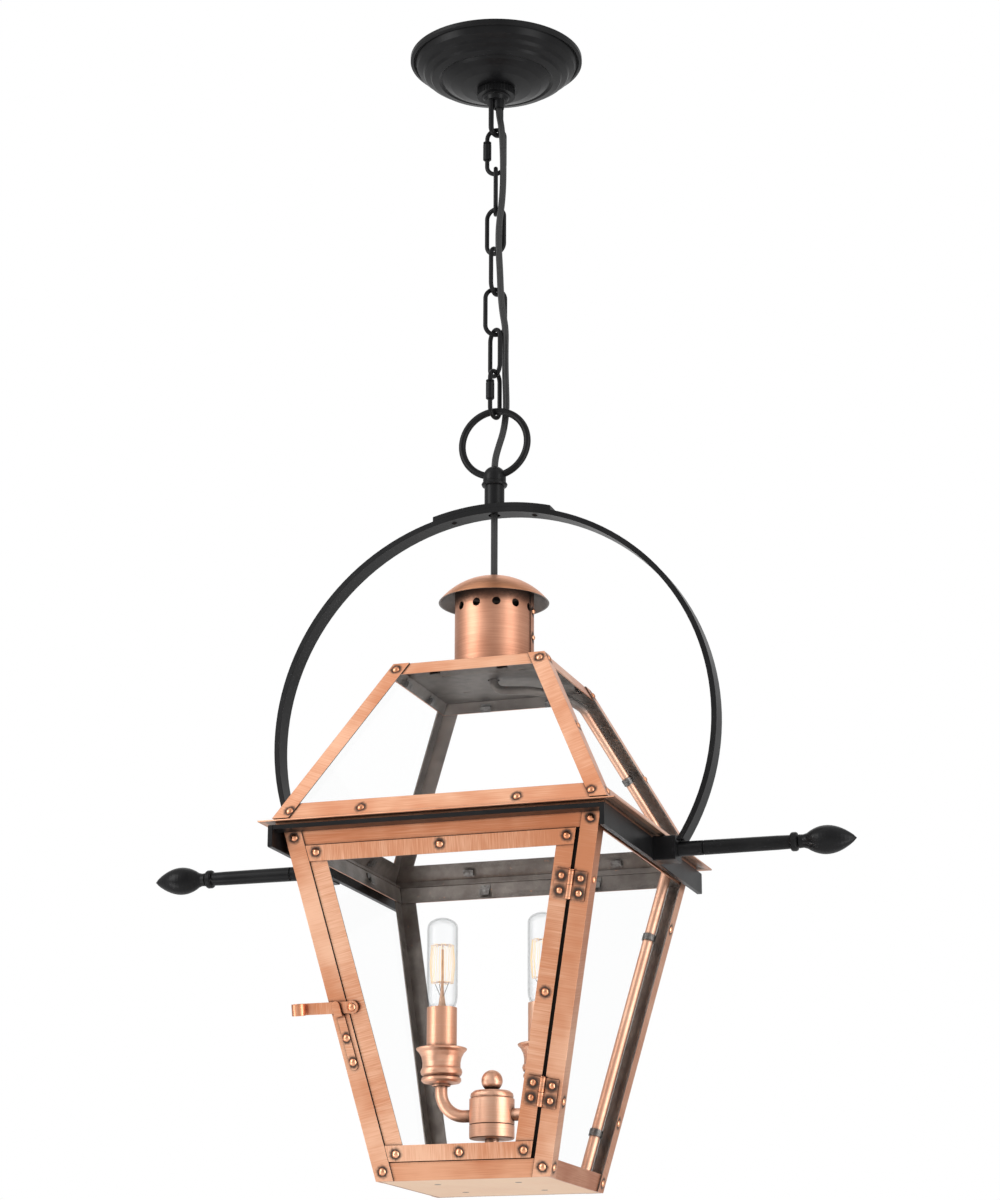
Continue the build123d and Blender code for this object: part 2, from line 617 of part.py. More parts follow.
def door_rivets():
    places = []
    for z in (DOOR_HIGH_Z - 4.8, DOOR_LOW_Z + 5.0):
        left = -body_half(z) + DOOR_LEFT_MARGIN + 6.5
        right = body_half(z) - DOOR_RIGHT_MARGIN - 6.0
        for u in (left, (left + right) / 2, right):
            places.append(on_face(0, u, z, body_half, BODY_SLOPE))
    z = -124.4
    places.append(on_face(0, body_half(z) - DOOR_RIGHT_MARGIN - 6.4, z, body_half, BODY_SLOPE, -STRIP))
    return rivets(places)


def door_clips():
    shape = tab(4.0, STRIP + GLASS + 0.4)
    inset = STRIP + 0.02
    gap = clip_gap(BODY_SLOPE)
    low, high = DOOR_LOW_Z + DOOR_GLASS_SEAT - gap, DOOR_HIGH_Z - DOOR_GLASS_SEAT + gap
    places = [inside_face(0, s * 28, low, body_half, BODY_SLOPE, inset, 1) for s in (-1, 1)]
    places += [inside_face(0, s * 45, high, body_half, BODY_SLOPE, inset, -1) for s in (-1, 1)]
    return group(*[place * shape for place in places])


def hinge_frame(z):
    """Frame on the hinge axis: local Y runs up the axis, local Z is outward."""
    n = Vector(0, -1, -BODY_SLOPE).normalized()
    up = Vector(BODY_SLOPE, -BODY_SLOPE, 1).normalized()
    origin = Vector(body_half(z) - HINGE_MARGIN, -body_half(z), z) + n * HINGE_LIFT
    return Plane(origin=origin, x_dir=up.cross(n), z_dir=n).location


def hinge_leaf(s):
    """Leaf with one knuckle: s = -1 for the door's leaf, 1 for the post's."""
    width = 10.4
    half = HINGE_LENGTH / 2
    drop = -HINGE_LIFT
    leaf = Pos(s * (width / 2 + 1.0), 0, drop + 0.55) * Box(width, HINGE_LENGTH, 1.0)
    centre = -s * half / 2
    knuckle = Pos(0, centre, 0) * Rot(90, 0, 0) * Cylinder(KNUCKLE_RADIUS, half - 0.3)
    web = Pos(s * 1.1, centre, drop / 2 - 0.15) * Box(2.2, half - 0.3, 1.2)
    clear = Pos(0, -centre, 0) * Rot(90, 0, 0) * Cylinder(KNUCKLE_RADIUS + 0.35, half + 0.3)
    bore = Rot(90, 0, 0) * Cylinder(HINGE_PIN_RADIUS + 0.05, HINGE_LENGTH + 2)
    return leaf - clear + knuckle + web - bore


def hinge_pin():
    pin = Rot(90, 0, 0) * Cylinder(HINGE_PIN_RADIUS, HINGE_LENGTH + 0.5)
    cap = Pos(0, HINGE_LENGTH / 2 + 0.45, 0) * Rot(90, 0, 0) * Cylinder(KNUCKLE_RADIUS - 0.2, 0.6)
    return pin + cap


def hinge_rivets(s):
    face = 1.05 - HINGE_LIFT
    places = [hinge_frame(z) * Pos(s * 6.9, v, face) for z in HINGE_ZS for v in (-5.2, 5.2)]
    return rivets(places, rivet_head(2.4, 1.4))


def latch_frame():
    """Frame on the latch pivot: local X to the right, local Y up the face, local Z outward."""
    u = -body_half(LATCH_Z) + LATCH_PIVOT_MARGIN
    return on_face(0, u, LATCH_Z, body_half, BODY_SLOPE, LATCH_LIFT - STRIP)


def latch_lever():
    """Flat lever with a round eye at the pivot and a rolled finger tip."""
    roll = 3.4
    straight = LATCH_LENGTH - roll
    bar = Pos(-straight / 2, 0, LATCH_THICKNESS / 2) * Box(straight, LATCH_HEIGHT, LATCH_THICKNESS)
    eye = Pos(0, 0, LATCH_THICKNESS / 2) * Cylinder(LATCH_HEIGHT / 2 + 0.5, LATCH_THICKNESS)
    curl = Cylinder(roll + LATCH_THICKNESS, LATCH_HEIGHT) - Cylinder(roll, LATCH_HEIGHT + 1)
    curl -= Pos(5, -5, 0) * Box(10, 10, LATCH_HEIGHT + 1)
    curl = Pos(-straight, 0, roll + LATCH_THICKNESS) * Rot(90, 0, 0) * curl
    lever = bar + eye + curl
    return latch_frame() * (lever - Cylinder(1.6, 20))


def latch_pivot():
    """Boss under the lever, shank and domed head."""
    boss = Pos(0, 0, -LATCH_LIFT / 2 - 0.05) * Cylinder(3.0, LATCH_LIFT - 0.1)
    shank = Pos(0, 0, LATCH_THICKNESS / 2) * Cylinder(1.55, LATCH_THICKNESS + 0.6)
    head = Pos(0, 0, LATCH_THICKNESS + 0.2) * rivet_head(3.0, 1.7)
    return latch_frame() * (boss + shank + head)


def catch_frame():
    z = LATCH_Z
    lean = degrees(atan(BODY_SLOPE))
    return on_face(0, -body_half(z) + 6.5, z, body_half, BODY_SLOPE, 0.0, lean)


def latch_catch():
    """Strip riveted to the post whose upper end stands off in front of the lever."""
    front = LATCH_LIFT + LATCH_THICKNESS + 0.6
    low = CATCH_LOW_Z - LATCH_Z
    shoulder = -LATCH_HEIGHT / 2 - 1.7
    tip = LATCH_HEIGHT / 2 + 0.6
    side = [(low, 0), (shoulder, 0), (shoulder + 0.6, 0.4), (shoulder + 0.6, front), (tip, front),
            (tip, front + 1.1), (shoulder - 0.6, front + 1.1), (shoulder - 0.6, 1.1), (low, 1.1)]
    face = make_face(Polyline([(0, y, z) for y, z in side], close=True))
    strip = extrude(face, amount=CATCH_WIDTH / 2, dir=(1, 0, 0), both=True)
    outline = SlotOverall(tip - low, CATCH_WIDTH, rotation=90)
    keep = Pos(0, (tip + low) / 2, -1) * extrude(outline, amount=12)
    return catch_frame() * (strip & keep)


def catch_rivets():
    places = [catch_frame() * Pos(0, v, 1.1) for v in (-22.0, -39.5)]
    return rivets(places)


# ---- lamps ---------------------------------------------------------------------------------
def both_lamps(shape):
    return group(Pos(-LAMP_X, 0, 0) * shape, Pos(LAMP_X, 0, 0) * shape)


def cluster_body():
    low, high, r = CLUSTER_LOW_Z, CLUSTER_HIGH_Z, CLUSTER_RADIUS
    body = turned([(0, low), (r - 0.8, low), (r, low + 0.8), (r, low + 9.6), (r - 0.5, low + 10),
                   (r, low + 10.4), (r, high - 0.6), (r - 0.8, high), (0, high)])
    for s in (-1, 1):
        body -= Pos(s * r, 0, -196) * Rot(0, 90, 0) * Cylinder(4.55, 8)
    return body


def cluster_cap():
    high = CLUSTER_HIGH_Z
    cover = turned([(0, high), (15.2, high), (15.6, high + 1.4), (15.2, high + 3.4), (13.0, high + 5.2),
                    (3.4, high + 5.6), (3.0, high + 6.4), (0, high + 6.4)])
    ball = Pos(0, 0, -171.3) * Sphere(7.7)
    return cover + ball


def cluster_stem():
    foot = BODY_LOW_Z + 1.4
    return turned([(0, foot), (9.0, foot), (9.0, foot + 3), (5.0, foot + 4), (5.0, CLUSTER_LOW_Z),
                   (0, CLUSTER_LOW_Z)])


def lamp_arms():
    bend = 18.0
    arms = []
    for s in (-1, 1):
        route = [(s * 12.6, 0, -196), (s * LAMP_X, 0, -196), (s * LAMP_X, 0, -174.2)]
        arms.append(tube(route, 4.5, [bend])[0])
    return group(*arms)


def candle_cup():
    return turned([(0, -174.0), (6.4, -174.0), (6.8, -173.4), (6.8, -172.4), (9.5, -172.2),
                   (13.4, -171.4), (14.5, -169.9), (14.3, -168.2), (13.2, -167.0), (14.6, -165.6),
                   (15.2, -163.6), (14.8, -161.8), (13.9, -160.6), (13.8, -157.0), (14.6, -153.0),
                   (16.4, -149.6), (18.2, -147.8), (18.5, -146.8), (17.8, -146.3), (12.0, -147.6),
                   (12.0, -160.0), (0, -160.0)])


def candle_sleeve():
    return ring_of(SLEEVE_OUTER, SLEEVE_OUTER - 0.8, -159.9, -117.0)


def lamp_socket():
    return turned([(0, -159.9), (9.6, -159.9), (9.6, -121.0), (6.4, -121.0), (6.4, -143.0), (0, -143.0)])


def bulb_base():
    return turned([(0, -142.6), (2.6, -142.6), (3.4, -140.6), (5.9, -139.0), (5.9, -121.4),
                   (6.2, -118.6), (0, -118.6)])


def bulb_glass():
    r = BULB_RADIUS
    steps = 10
    wall = 0.8
    top = BULB_TOP_Z - BULB_DOME
    outer = [(6.2, -118.6), (7.6, -117.4), (9.8, -115.4), (r - 0.4, -112.4), (r, -109.0)]
    turns = [i * pi / 2 / steps for i in range(steps + 1)]
    outer += [(r * cos(turn), top + BULB_DOME * sin(turn)) for turn in turns]
    inner = [(5.4, -118.6), (6.9, -116.8), (9.1, -114.9), (r - 1.2, -112.0), (r - wall, -108.8)]
    inner += [((r - wall) * cos(turn), top + (BULB_DOME - wall) * sin(turn)) for turn in turns]
    outer[-1] = (0, BULB_TOP_Z)
    inner[-1] = (0, BULB_TOP_Z - wall)
    return turned(outer + inner[::-1])


def bulb_mount():
    """Pressed glass stem and support rod of the filament cage."""
    return turned([(0, -118.5), (3.6, -118.5), (2.6, -114.0), (1.4, -106.0), (1.0, -100.0),
                   (0.8, -74.0), (0, -74.0)])


# ---- conduits ------------------------------------------------------------------------------
def conduit_upper():
    """From the middle of the top plate to the rear right corner and down inside the hip."""
    a, b = 114.0, 8.0
    ca, cb = roof_half(a) - 13.0, roof_half(b) - 13.0
    route = [(0, 0, 131.0), (0, 0, 119.5), (26, 9, 119.5), (44, 30, 119.5), (ca, ca, a), (cb, cb, b)]
    radii = [7.5, 16, 16, 8.5]
    return tube(route, 3.2, radii)[0] - tube(route, 2.5, radii)[0]


def conduit_lower():
    a, b = -6.0, -238.0
    ca, cb = body_half(a) - 13.5, body_half(b) - 13.5
    route = [(ca, ca, a), (cb, cb, b)]
    return tube(route, CONDUIT_RADIUS)[0] - tube(route, CONDUIT_RADIUS - 0.7)[0]


def saddle_clip(radius, half, slope, z, offset):
    """Clip round a conduit at one height, with a foot towards the corner."""
    c = half(z) - offset
    lean = Vector(slope, slope, 1).normalized()
    plane = Plane(origin=(c, c, z), x_dir=(1, -1, 0), z_dir=lean)
    band = Cylinder(radius + 0.9, 5.0) - Cylinder(radius + 0.05, 6.0)
    return plane.location * band


def conduit_clips():
    clips = [saddle_clip(3.2, roof_half, ROOF_SLOPE, 62.0, 13.0)]
    clips += [saddle_clip(CONDUIT_RADIUS, body_half, BODY_SLOPE, z, 13.5) for z in CLIP_HEIGHTS]
    return group(*clips)


# ---- assembly ------------------------------------------------------------------------------
def build():
    parts["ceiling_crossbar"] = ceiling_crossbar()
    parts["threaded_nipple"] = ring_of(NIPPLE_RADIUS, NIPPLE_BORE, -33.8, 8.0)
    nut = Pos(0, 0, 0.1) * extrude(RegularPolygon(8.0, 6), amount=4.0)
    parts["nipple_locknut"] = nut - Cylinder(NIPPLE_RADIUS + 0.05, 20)
    parts["canopy_dish"] = canopy_dish()
    parts["canopy_collar"] = knurled_collar()
    parts["hang_loop"] = hang_loop()

    parts["quick_link_upper"], parts["quick_link_upper_sleeve"] = quick_link(0, QUICK_UPPER_YAW)
    for i, yaw in enumerate(LINK_YAWS, start=1):
        parts[f"chain_link_{i}"] = Pos(0, 0, link_centre(i)) * Rot(0, 0, yaw) * oval(LINK_HALF_WIDTH)
    parts["quick_link_lower"], parts["quick_link_lower_sleeve"] = quick_link(6, QUICK_LOWER_YAW)

    cord, path, radii = tube(CORD_ROUTE, CORD_DIAMETER / 2)
    section = pi * CORD_DIAMETER ** 2 / 4
    print("cord bend radii", [round(r, 1) for r in radii])
    ratio = cord.volume / (section * path.length)
    print("cord length", round(path.length, 1), "volume ratio", round(ratio, 4))
    parts["cord_along_chain"] = cord
    parts["cord_to_chimney"] = tube([(0, 0, CORD_IN_STEM_Z), (0, 0, CORD_END_Z)], CORD_DIAMETER / 2)[0]

    lantern = {}
    lantern["hanging_ring"], lantern["ring_stem"] = ring_and_stem()
    lantern["arch_band"] = arch_band()
    lantern["arch_saddle"] = group(arch_saddle(), arch_screws())
    for name, piece in (("yoke_side_bars", side_bar), ("yoke_cross_bars", cross_bar),
                        ("yoke_blocks", yoke_block), ("yoke_arms", yoke_arm), ("yoke_finials", finial)):
        lantern[name] = group(piece(-1), piece(1))

    lantern["chimney_cap"] = chimney_cap()
    lantern["chimney_pipe"] = chimney_pipe()
    lantern["roof_top_plate"] = roof_top_plate()
    fascia = sloped_profile(roof_half, ROOF_SLOPE, FASCIA_LOW_Z, ROOF_TOP_Z - 0.3, STRIP, 2 * STRIP)
    lantern["roof_strips"] = group(all_sides(side_strip(fascia)), eave_strips())
    low = ROOF_LOW_Z + 0.6
    lantern["roof_hips"] = corner_angles(roof_half, ROOF_SLOPE, low, ROOF_TOP_Z, HIP_LEG, 0, STRIP)
    lantern["roof_rivets"] = group(roof_rivets(), pipe_rivets())
    roof_pane = pane(roof_half, ROOF_SLOPE, ROOF_PANE_LOW_Z, ROOF_PANE_HIGH_Z, 6.5, 2 * STRIP + 0.1)
    front_half = Pos(0, -BIG / 2, 0) * Box(BIG * 2, BIG, BIG * 3)
    lantern["roof_glass"] = all_sides(roof_pane & front_half)

    posts = corner_angles(body_half, BODY_SLOPE, BODY_LOW_Z, BODY_TOP_Z, POST_LEG, 0, STRIP)
    lantern["body_posts"] = group(posts, door_stop())
    top_rail = sloped_profile(body_half, BODY_SLOPE, TOP_RAIL_LOW_Z, BODY_TOP_Z - 0.1, STRIP, 2 * STRIP)
    low_rail = sloped_profile(body_half, BODY_SLOPE, BODY_LOW_Z, BOTTOM_RAIL_HIGH_Z, STRIP, 2 * STRIP)
    lantern["body_rails"] = group(all_sides(side_strip(top_rail)), all_sides(side_strip(low_rail)))
    lantern["bottom_plate"] = bottom_plate()
    lantern["body_rivets"] = group(body_rivets(), catch_rivets(), hinge_rivets(1))
    side_pane = pane(body_half, BODY_SLOPE, PANE_LOW_Z, PANE_HIGH_Z, 6.5, 2 * STRIP + 0.1)
    side_pane &= front_half
    lantern["body_glass"] = group(*[Rot(0, 0, 90 * side) * side_pane for side in (1, 2, 3)])
    lantern["cage_clips"] = group(glass_clips(), conduit_clips())

    lantern["door_rails"] = door_rails()
    lantern["door_stiles"] = door_stiles()
    lantern["door_glass"] = door_glass()
    lantern["door_rivets"] = group(door_rivets(), hinge_rivets(-1))
    lantern["door_clips"] = door_clips()
    lantern["hinge_leaves_door"] = group(*[hinge_frame(z) * hinge_leaf(-1) for z in HINGE_ZS])
    lantern["hinge_leaves_post"] = group(*[hinge_frame(z) * hinge_leaf(1) for z in HINGE_ZS],
                                         *[hinge_frame(z) * hinge_pin() for z in HINGE_ZS])
    lantern["latch_lever"] = latch_lever()
    lantern["latch_pivot"] = latch_pivot()
    lantern["latch_catch"] = latch_catch()

    lantern["cluster_body"] = cluster_body()
    lantern["cluster_cap"] = cluster_cap()
    lantern["cluster_stem"] = cluster_stem()
    lantern["lamp_arms"] = lamp_arms()
    for name, shape in (("candle_cups", candle_cup()), ("candle_sleeves", candle_sleeve()),
                        ("lamp_sockets", lamp_socket()), ("bulb_bases", bulb_base()),
                        ("bulb_glasses", bulb_glass()), ("bulb_stems", bulb_mount())):
        lantern[name] = both_lamps(shape)
    lantern["conduits"] = group(conduit_upper(), conduit_lower())
    for name, shape in lantern.items():
        parts[name] = hung(shape)


build()
os.makedirs("parts", exist_ok=True)
for name, shape in parts.items():
    solids = shape.solids()
    export_step(solids[0] if len(solids) == 1 else Compound(children=solids), f"parts/{name}.step")
print(len(parts), "nodes")
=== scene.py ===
import json
from math import cos, pi, radians, sin, sqrt

import bpy
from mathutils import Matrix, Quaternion, Vector

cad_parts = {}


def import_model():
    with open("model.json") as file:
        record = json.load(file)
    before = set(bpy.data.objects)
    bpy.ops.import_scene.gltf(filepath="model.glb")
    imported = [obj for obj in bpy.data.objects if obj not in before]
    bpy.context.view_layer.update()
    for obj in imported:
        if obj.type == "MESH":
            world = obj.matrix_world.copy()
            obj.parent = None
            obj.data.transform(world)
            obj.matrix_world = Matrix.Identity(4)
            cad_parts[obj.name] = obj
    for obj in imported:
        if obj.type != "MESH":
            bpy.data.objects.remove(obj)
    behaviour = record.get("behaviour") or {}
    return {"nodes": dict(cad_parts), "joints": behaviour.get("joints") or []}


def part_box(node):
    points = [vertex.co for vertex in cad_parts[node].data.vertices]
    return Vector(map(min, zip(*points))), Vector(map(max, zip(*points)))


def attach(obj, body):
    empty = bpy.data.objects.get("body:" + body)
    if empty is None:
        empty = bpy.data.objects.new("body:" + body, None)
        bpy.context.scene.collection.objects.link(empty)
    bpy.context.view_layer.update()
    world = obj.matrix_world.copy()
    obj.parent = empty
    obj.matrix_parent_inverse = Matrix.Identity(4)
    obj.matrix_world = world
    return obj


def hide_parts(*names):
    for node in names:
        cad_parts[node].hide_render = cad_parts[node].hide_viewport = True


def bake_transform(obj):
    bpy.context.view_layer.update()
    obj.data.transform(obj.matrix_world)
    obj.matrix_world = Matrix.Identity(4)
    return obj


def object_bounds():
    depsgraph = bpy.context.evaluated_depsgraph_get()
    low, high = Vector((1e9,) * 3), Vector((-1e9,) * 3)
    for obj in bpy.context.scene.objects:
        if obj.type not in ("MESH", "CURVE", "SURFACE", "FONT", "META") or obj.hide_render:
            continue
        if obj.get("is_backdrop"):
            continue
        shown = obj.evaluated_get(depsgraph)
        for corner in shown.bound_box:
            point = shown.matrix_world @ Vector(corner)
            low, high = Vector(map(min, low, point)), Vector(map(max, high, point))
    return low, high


# Looks of the hanging lantern: brushed copper with dark patina, satin black iron, clear glass.
# Lengths are in metres, angles in degrees, colours in linear light.
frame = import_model()
cad_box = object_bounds()
nodes = frame["nodes"]

# ---- camera ------------------------------------------------------------------------------------
CAMERA_PLACE = (0.6750, -1.9962, -1.0872)
CAMERA_AZIMUTH = 18.56
CAMERA_RISE = 16.78
CAMERA_ROLL = 0.2
CAMERA_LENS = 87.375
SENSOR_WIDTH = 36
CLIP_START, CLIP_END = 0.05, 60

# ---- lights and floor --------------------------------------------------------------------------
LAMP_SIZE_LOW = (0.4, 1.0)
LAMPS = [  # name, place, node it is aimed at (None: the middle of the lantern), size, power
    ("key", (-1.7, -1.6, 0.2), None, (1.2, 1.8), 26),
    ("fill", (2.0, -0.9, -0.3), None, (0.9, 1.8), 14),
    ("low_left", (-1.1, -0.7, -1.3), "canopy_dish", LAMP_SIZE_LOW, 4.5),
    ("low_right", (1.2, -0.2, -1.1), "canopy_dish", LAMP_SIZE_LOW, 4.5),
]
# Brightness of the studio round the object: share of a half turn from the camera's azimuth, value.
WORLD_BANDS = ((0.0, 0.42), (0.10, 0.55), (0.26, 1.25), (0.42, 0.90), (0.58, 0.52), (0.80, 0.45),
               (0.93, 0.95), (1.0, 1.0))
# A ray's height from and to, and the brightness factor at each.
WORLD_RISE = (-0.4, 0.9, 0.8, 1.25)
FLOOR_REACH = 9.0
FLOOR_Z = -1.75
FLOOR_COLOURS = (0.84, 0.84, 0.84), (0.88, 0.88, 0.88)

# ---- the lantern's own measures ----------------------------------------------------------------
# Slopes of the roof's and the body's edges: change of half-width with height.
ROOF_SLOPE = -0.5227
BODY_SLOPE = 0.2215
RIVET_SIZE = 0.0027
HIP_REACH = 0.012       # heads nearer than this to a roof corner are on the hip
MEMBER_END = 0.02       # heads this near an end of a post or hip are on both of its faces
LEAF_HEIGHT = 0.021     # each hinge's height
BULB_RADIUS = 0.01125
SLOT_REACH = 0.03       # the bottom plate's slots, from the axis both ways
SLOT_SHADE = (0.0021, 0.0027)       # the painted shade on each slot fades out between these
RECESS = (-0.0019, -0.0014)         # depth of the stop frame behind the posts' outer faces, painted black there as shade
CONDUIT_SHADE = (-0.022, -0.012)    # levels under the top plate between which the painted shade on the conduit fades out

# Squirrel-cage filament.
CAGE_TOP, CAGE_FOOT = 0.0203, 0.0478    # below the bulb's top
CAGE_RADIUS = 0.0080
CAGE_BULGE = 1.15       # radius half-way up, as a share of the radius at the ends
CAGE_START, CAGE_TURN = radians(150), 2 * pi * 0.93
CAGE_STRANDS = 16
FAR_STRAND = 24         # point of the cage's line at the foot of its far side
HOOK_RISE, HOOK_REACH = 0.0006, 1.07
NECK_DROP = 0.0125
CAGE_WIRE, LEAD_WIRE, HOOK_WIRE = 0.00024, 0.0002, 0.00018

# The cord's route, the same control points as the CAD tube's.
CORD_WIDTH = 0.0052
CORD_THICKNESS = 0.0027
CORD_ROUTE = [
    (0.0031, -0.00234, -0.041), (0.0031, -0.0025, -0.049), (0.0064, -0.0048, -0.063),
    (0.0076, -0.0050, -0.082), (0.0077, -0.0042, -0.102), (0.0076, -0.0052, -0.119),
    (0.0072, -0.0074, -0.133), (0.0049, -0.0069, -0.150), (0.0046, -0.0058, -0.168),
    (0.0054, -0.0048, -0.186), (0.0060, -0.0046, -0.204), (0.0075, -0.0047, -0.220),
    (0.0096, -0.0029, -0.234), (0.0083, 0.0001, -0.250), (0.0078, 0.0020, -0.268),
    (0.0076, 0.0048, -0.286), (0.0073, 0.0060, -0.299), (0.0056, 0.0052, -0.315),
    (0.0020, 0.0020, -0.330), (0, 0, -0.341), (0, 0, -0.351),
]
CORD_END = (0, 0, -0.440)
CORD_LEVEL = Vector((cos(radians(CAMERA_AZIMUTH)), sin(radians(CAMERA_AZIMUTH)), 0))    # its flat side
LOBE_TURN, LOBE_STEPS = 260, 12

# ---- colours and relief ------------------------------------------------------------------------
COPPER_LIGHT = (0.95, 0.56, 0.375)
COPPER_DEEP = (0.66, 0.265, 0.135)
PATINA = (0.052, 0.043, 0.039)
# painted shade: black for the stop frame behind the door's edges and over the bottom plate's slots
PAINTED_SHADE_BLACK = (0.012, 0.010, 0.009)
INSIDE_LIGHT = (0.225, 0.196, 0.176)
INSIDE_DARK = (0.105, 0.086, 0.074)
IRON = (0.005, 0.005, 0.0055)
IRON_WORN = (0.009, 0.009, 0.0095)
STREAK_SCALE = 1500.0
STREAK_STRETCH = 0.022
FINE_RELIEF = 0.00006
COPPER_EDGE, IRON_EDGE = 0.00035, 0.0004    # radius of the rounded edges
BARE_INSIDE = 0.55      # metallic share of the patina inside
CLOUD_SCALE = 13.0
SOFT_SCALE, FINE_SHARE = 0.16, 0.86         # coarser streaks, and the fine ones' share
PATINA_SHARE = 0.96
PATINA_EDGE_SCALE, PATINA_WANDER = 420.0, 0.0024
GLASS_INDEX = 1.45
GLASS_POLISH = (0.015, 0.05)
MIX_SHARE, MIX_A, MIX_B, MIX_RESULT = 0, 6, 7, 2    # colour sockets of a Mix node


# ---- node trees --------------------------------------------------------------------------------
class Paint:
    """One material's node tree, written with short calls. place and normal are in object space."""

    def __init__(self, name):
        self.material = bpy.data.materials.new(name)
        self.material.use_nodes = True
        self.tree = self.material.node_tree
        self.shader = self.tree.nodes["Principled BSDF"]
        where = self.tree.nodes.new("ShaderNodeTexCoord")
        self.place = where.outputs["Object"]
        self.normal = where.outputs["Normal"]

    def put(self, socket, value):
        if isinstance(value, bpy.types.NodeSocket):
            self.tree.links.new(value, socket)
        elif isinstance(value, tuple) and len(value) == 3 and socket.type == "RGBA":
            socket.default_value = (*value, 1)
        else:
            socket.default_value = value

    def set(self, **values):
        """Principled sockets by name, with _ for a space."""
        for name, value in values.items():
            self.put(self.shader.inputs[name.replace("_", " ")], value)
        return self

    def node(self, kind, *inputs, **settings):
        made = self.tree.nodes.new("ShaderNode" + kind)
        for name, value in settings.items():
            setattr(made, name, value)
        for socket, value in zip(made.inputs, inputs):
            if value is not None:
                self.put(socket, value)
        return made

    def math(self, operation, a, b=0.0, c=0.0):
        return self.node("Math", a, b, c, operation=operation).outputs[0]

    def vector(self, operation, a, b=(0, 0, 0)):
        made = self.node("VectorMath", a, b, operation=operation)
        return made.outputs["Value" if operation in ("DISTANCE", "DOT_PRODUCT", "LENGTH") else "Vector"]

    def split(self, vector):
        return self.node("SeparateXYZ", vector).outputs[:]

    def join(self, x, y, z):
        return self.node("CombineXYZ", x, y, z).outputs[0]

    def noise(self, vector, scale, detail=2.0, rough=0.55):
        made = self.node("TexNoise")
        sockets = (("Vector", vector), ("Scale", scale), ("Detail", detail), ("Roughness", rough))
        for name, value in sockets:
            self.put(made.inputs[name], value)
        return made.outputs[0]

    def span(self, value, low, high, out_low=0.0, out_high=1.0):
        """value from low..high to out_low..out_high, eased and clamped."""
        made = self.node("MapRange", value, low, high, out_low, out_high,
                         interpolation_type="SMOOTHSTEP")
        return made.outputs[0]

    def mix(self, share, a, b):
        made = self.node("Mix", data_type="RGBA")
        for index, value in ((MIX_SHARE, share), (MIX_A, a), (MIX_B, b)):
            self.put(made.inputs[index], value)
        return made.outputs[MIX_RESULT]

    def bump(self, height, strength, distance, edge=0.0):
        """Relief from a height, over edges rounded by the radius `edge`."""
        made = self.node("Bump")
        for name, value in (("Strength", strength), ("Distance", distance), ("Height", height)):
            self.put(made.inputs[name], value)
        if edge:
            rounded = self.node("Bevel", samples=4)
            self.put(rounded.inputs["Radius"], edge)
            self.put(made.inputs["Normal"], rounded.outputs[0])
        self.put(self.shader.inputs["Normal"], made.outputs[0])
        return self


# ---- rivets' places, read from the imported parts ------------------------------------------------
def centres(node):
    """Middle of each rivet head in a node of separate heads."""
    heads = []
    for vertex in nodes[node].data.vertices:
        for head in heads:
            if (vertex.co - head[0]).length < 2.2 * RIVET_SIZE:
                head.append(vertex.co)
                break
        else:
            heads.append([vertex.co.copy()])
    return [sum(head, Vector()) / len(head) for head in heads]


def folded(point):
    """The point's twin in the eighth of the plan where 0 <= x <= y."""
    x, y = sorted((abs(point[0]), abs(point[1])))
    return Vector((x, y, point[2]))


def unique(points):
    """The points without those that fall on another."""
    kept = []
    for point in points:
        if all((point - other).length > RIVET_SIZE for other in kept):
            kept.append(point)
    return kept


# ---- masks and runs ----------------------------------------------------------------------------
def member_run(paint, slope):
    """Distance along the four sloping corner members."""
    length = sqrt(1 + 2 * slope * slope)
    x, y, z = paint.split(paint.place)
    axis = (slope / length, slope / length, 1 / length)
    upright = paint.join(paint.math("ABSOLUTE", x), paint.math("ABSOLUTE", y), z)
    return paint.vector("DOT_PRODUCT", upright, axis)


def radius_run(paint):
    """Distance from the lantern's axis."""
    x, y, _ = paint.split(paint.place)
    return paint.vector("LENGTH", paint.join(x, y, 0.0))


def axis_run(index):
    """Distance along X, Y or Z, by number."""
    return lambda paint: paint.split(paint.place)[index]


def outward(paint):
    """1 on faces turned to the outside, 0 on faces turned to the lantern's axis."""
    x, y, _ = paint.split(paint.place)
    level = paint.vector("NORMALIZE", paint.join(x, y, 0.0))
    return paint.span(paint.vector("DOT_PRODUCT", paint.normal, level), -0.25, 0.1)


def nearest(paint, place, spots):
    """Distance from a place to the nearest of some spots."""
    near = None
    for spot in spots:
        distance = paint.vector("DISTANCE", place, tuple(spot))
        near = distance if near is None else paint.math("MINIMUM", near, distance)
    return near


# ---- materials ---------------------------------------------------------------------------------
def around_spots(paint, spots, folded_spots):
    """Distances to the nearest spot, and to the nearest of the spots repeated on all four corners."""
    places = []
    if spots:
        places.append(nearest(paint, paint.place, spots))
    if folded_spots:
        x, y, z = paint.split(paint.place)
        ax, ay = paint.math("ABSOLUTE", x), paint.math("ABSOLUTE", y)
        low, high = paint.math("MINIMUM", ax, ay), paint.math("MAXIMUM", ax, ay)
        places.append(nearest(paint, paint.join(low, high, z), folded_spots))
    return places


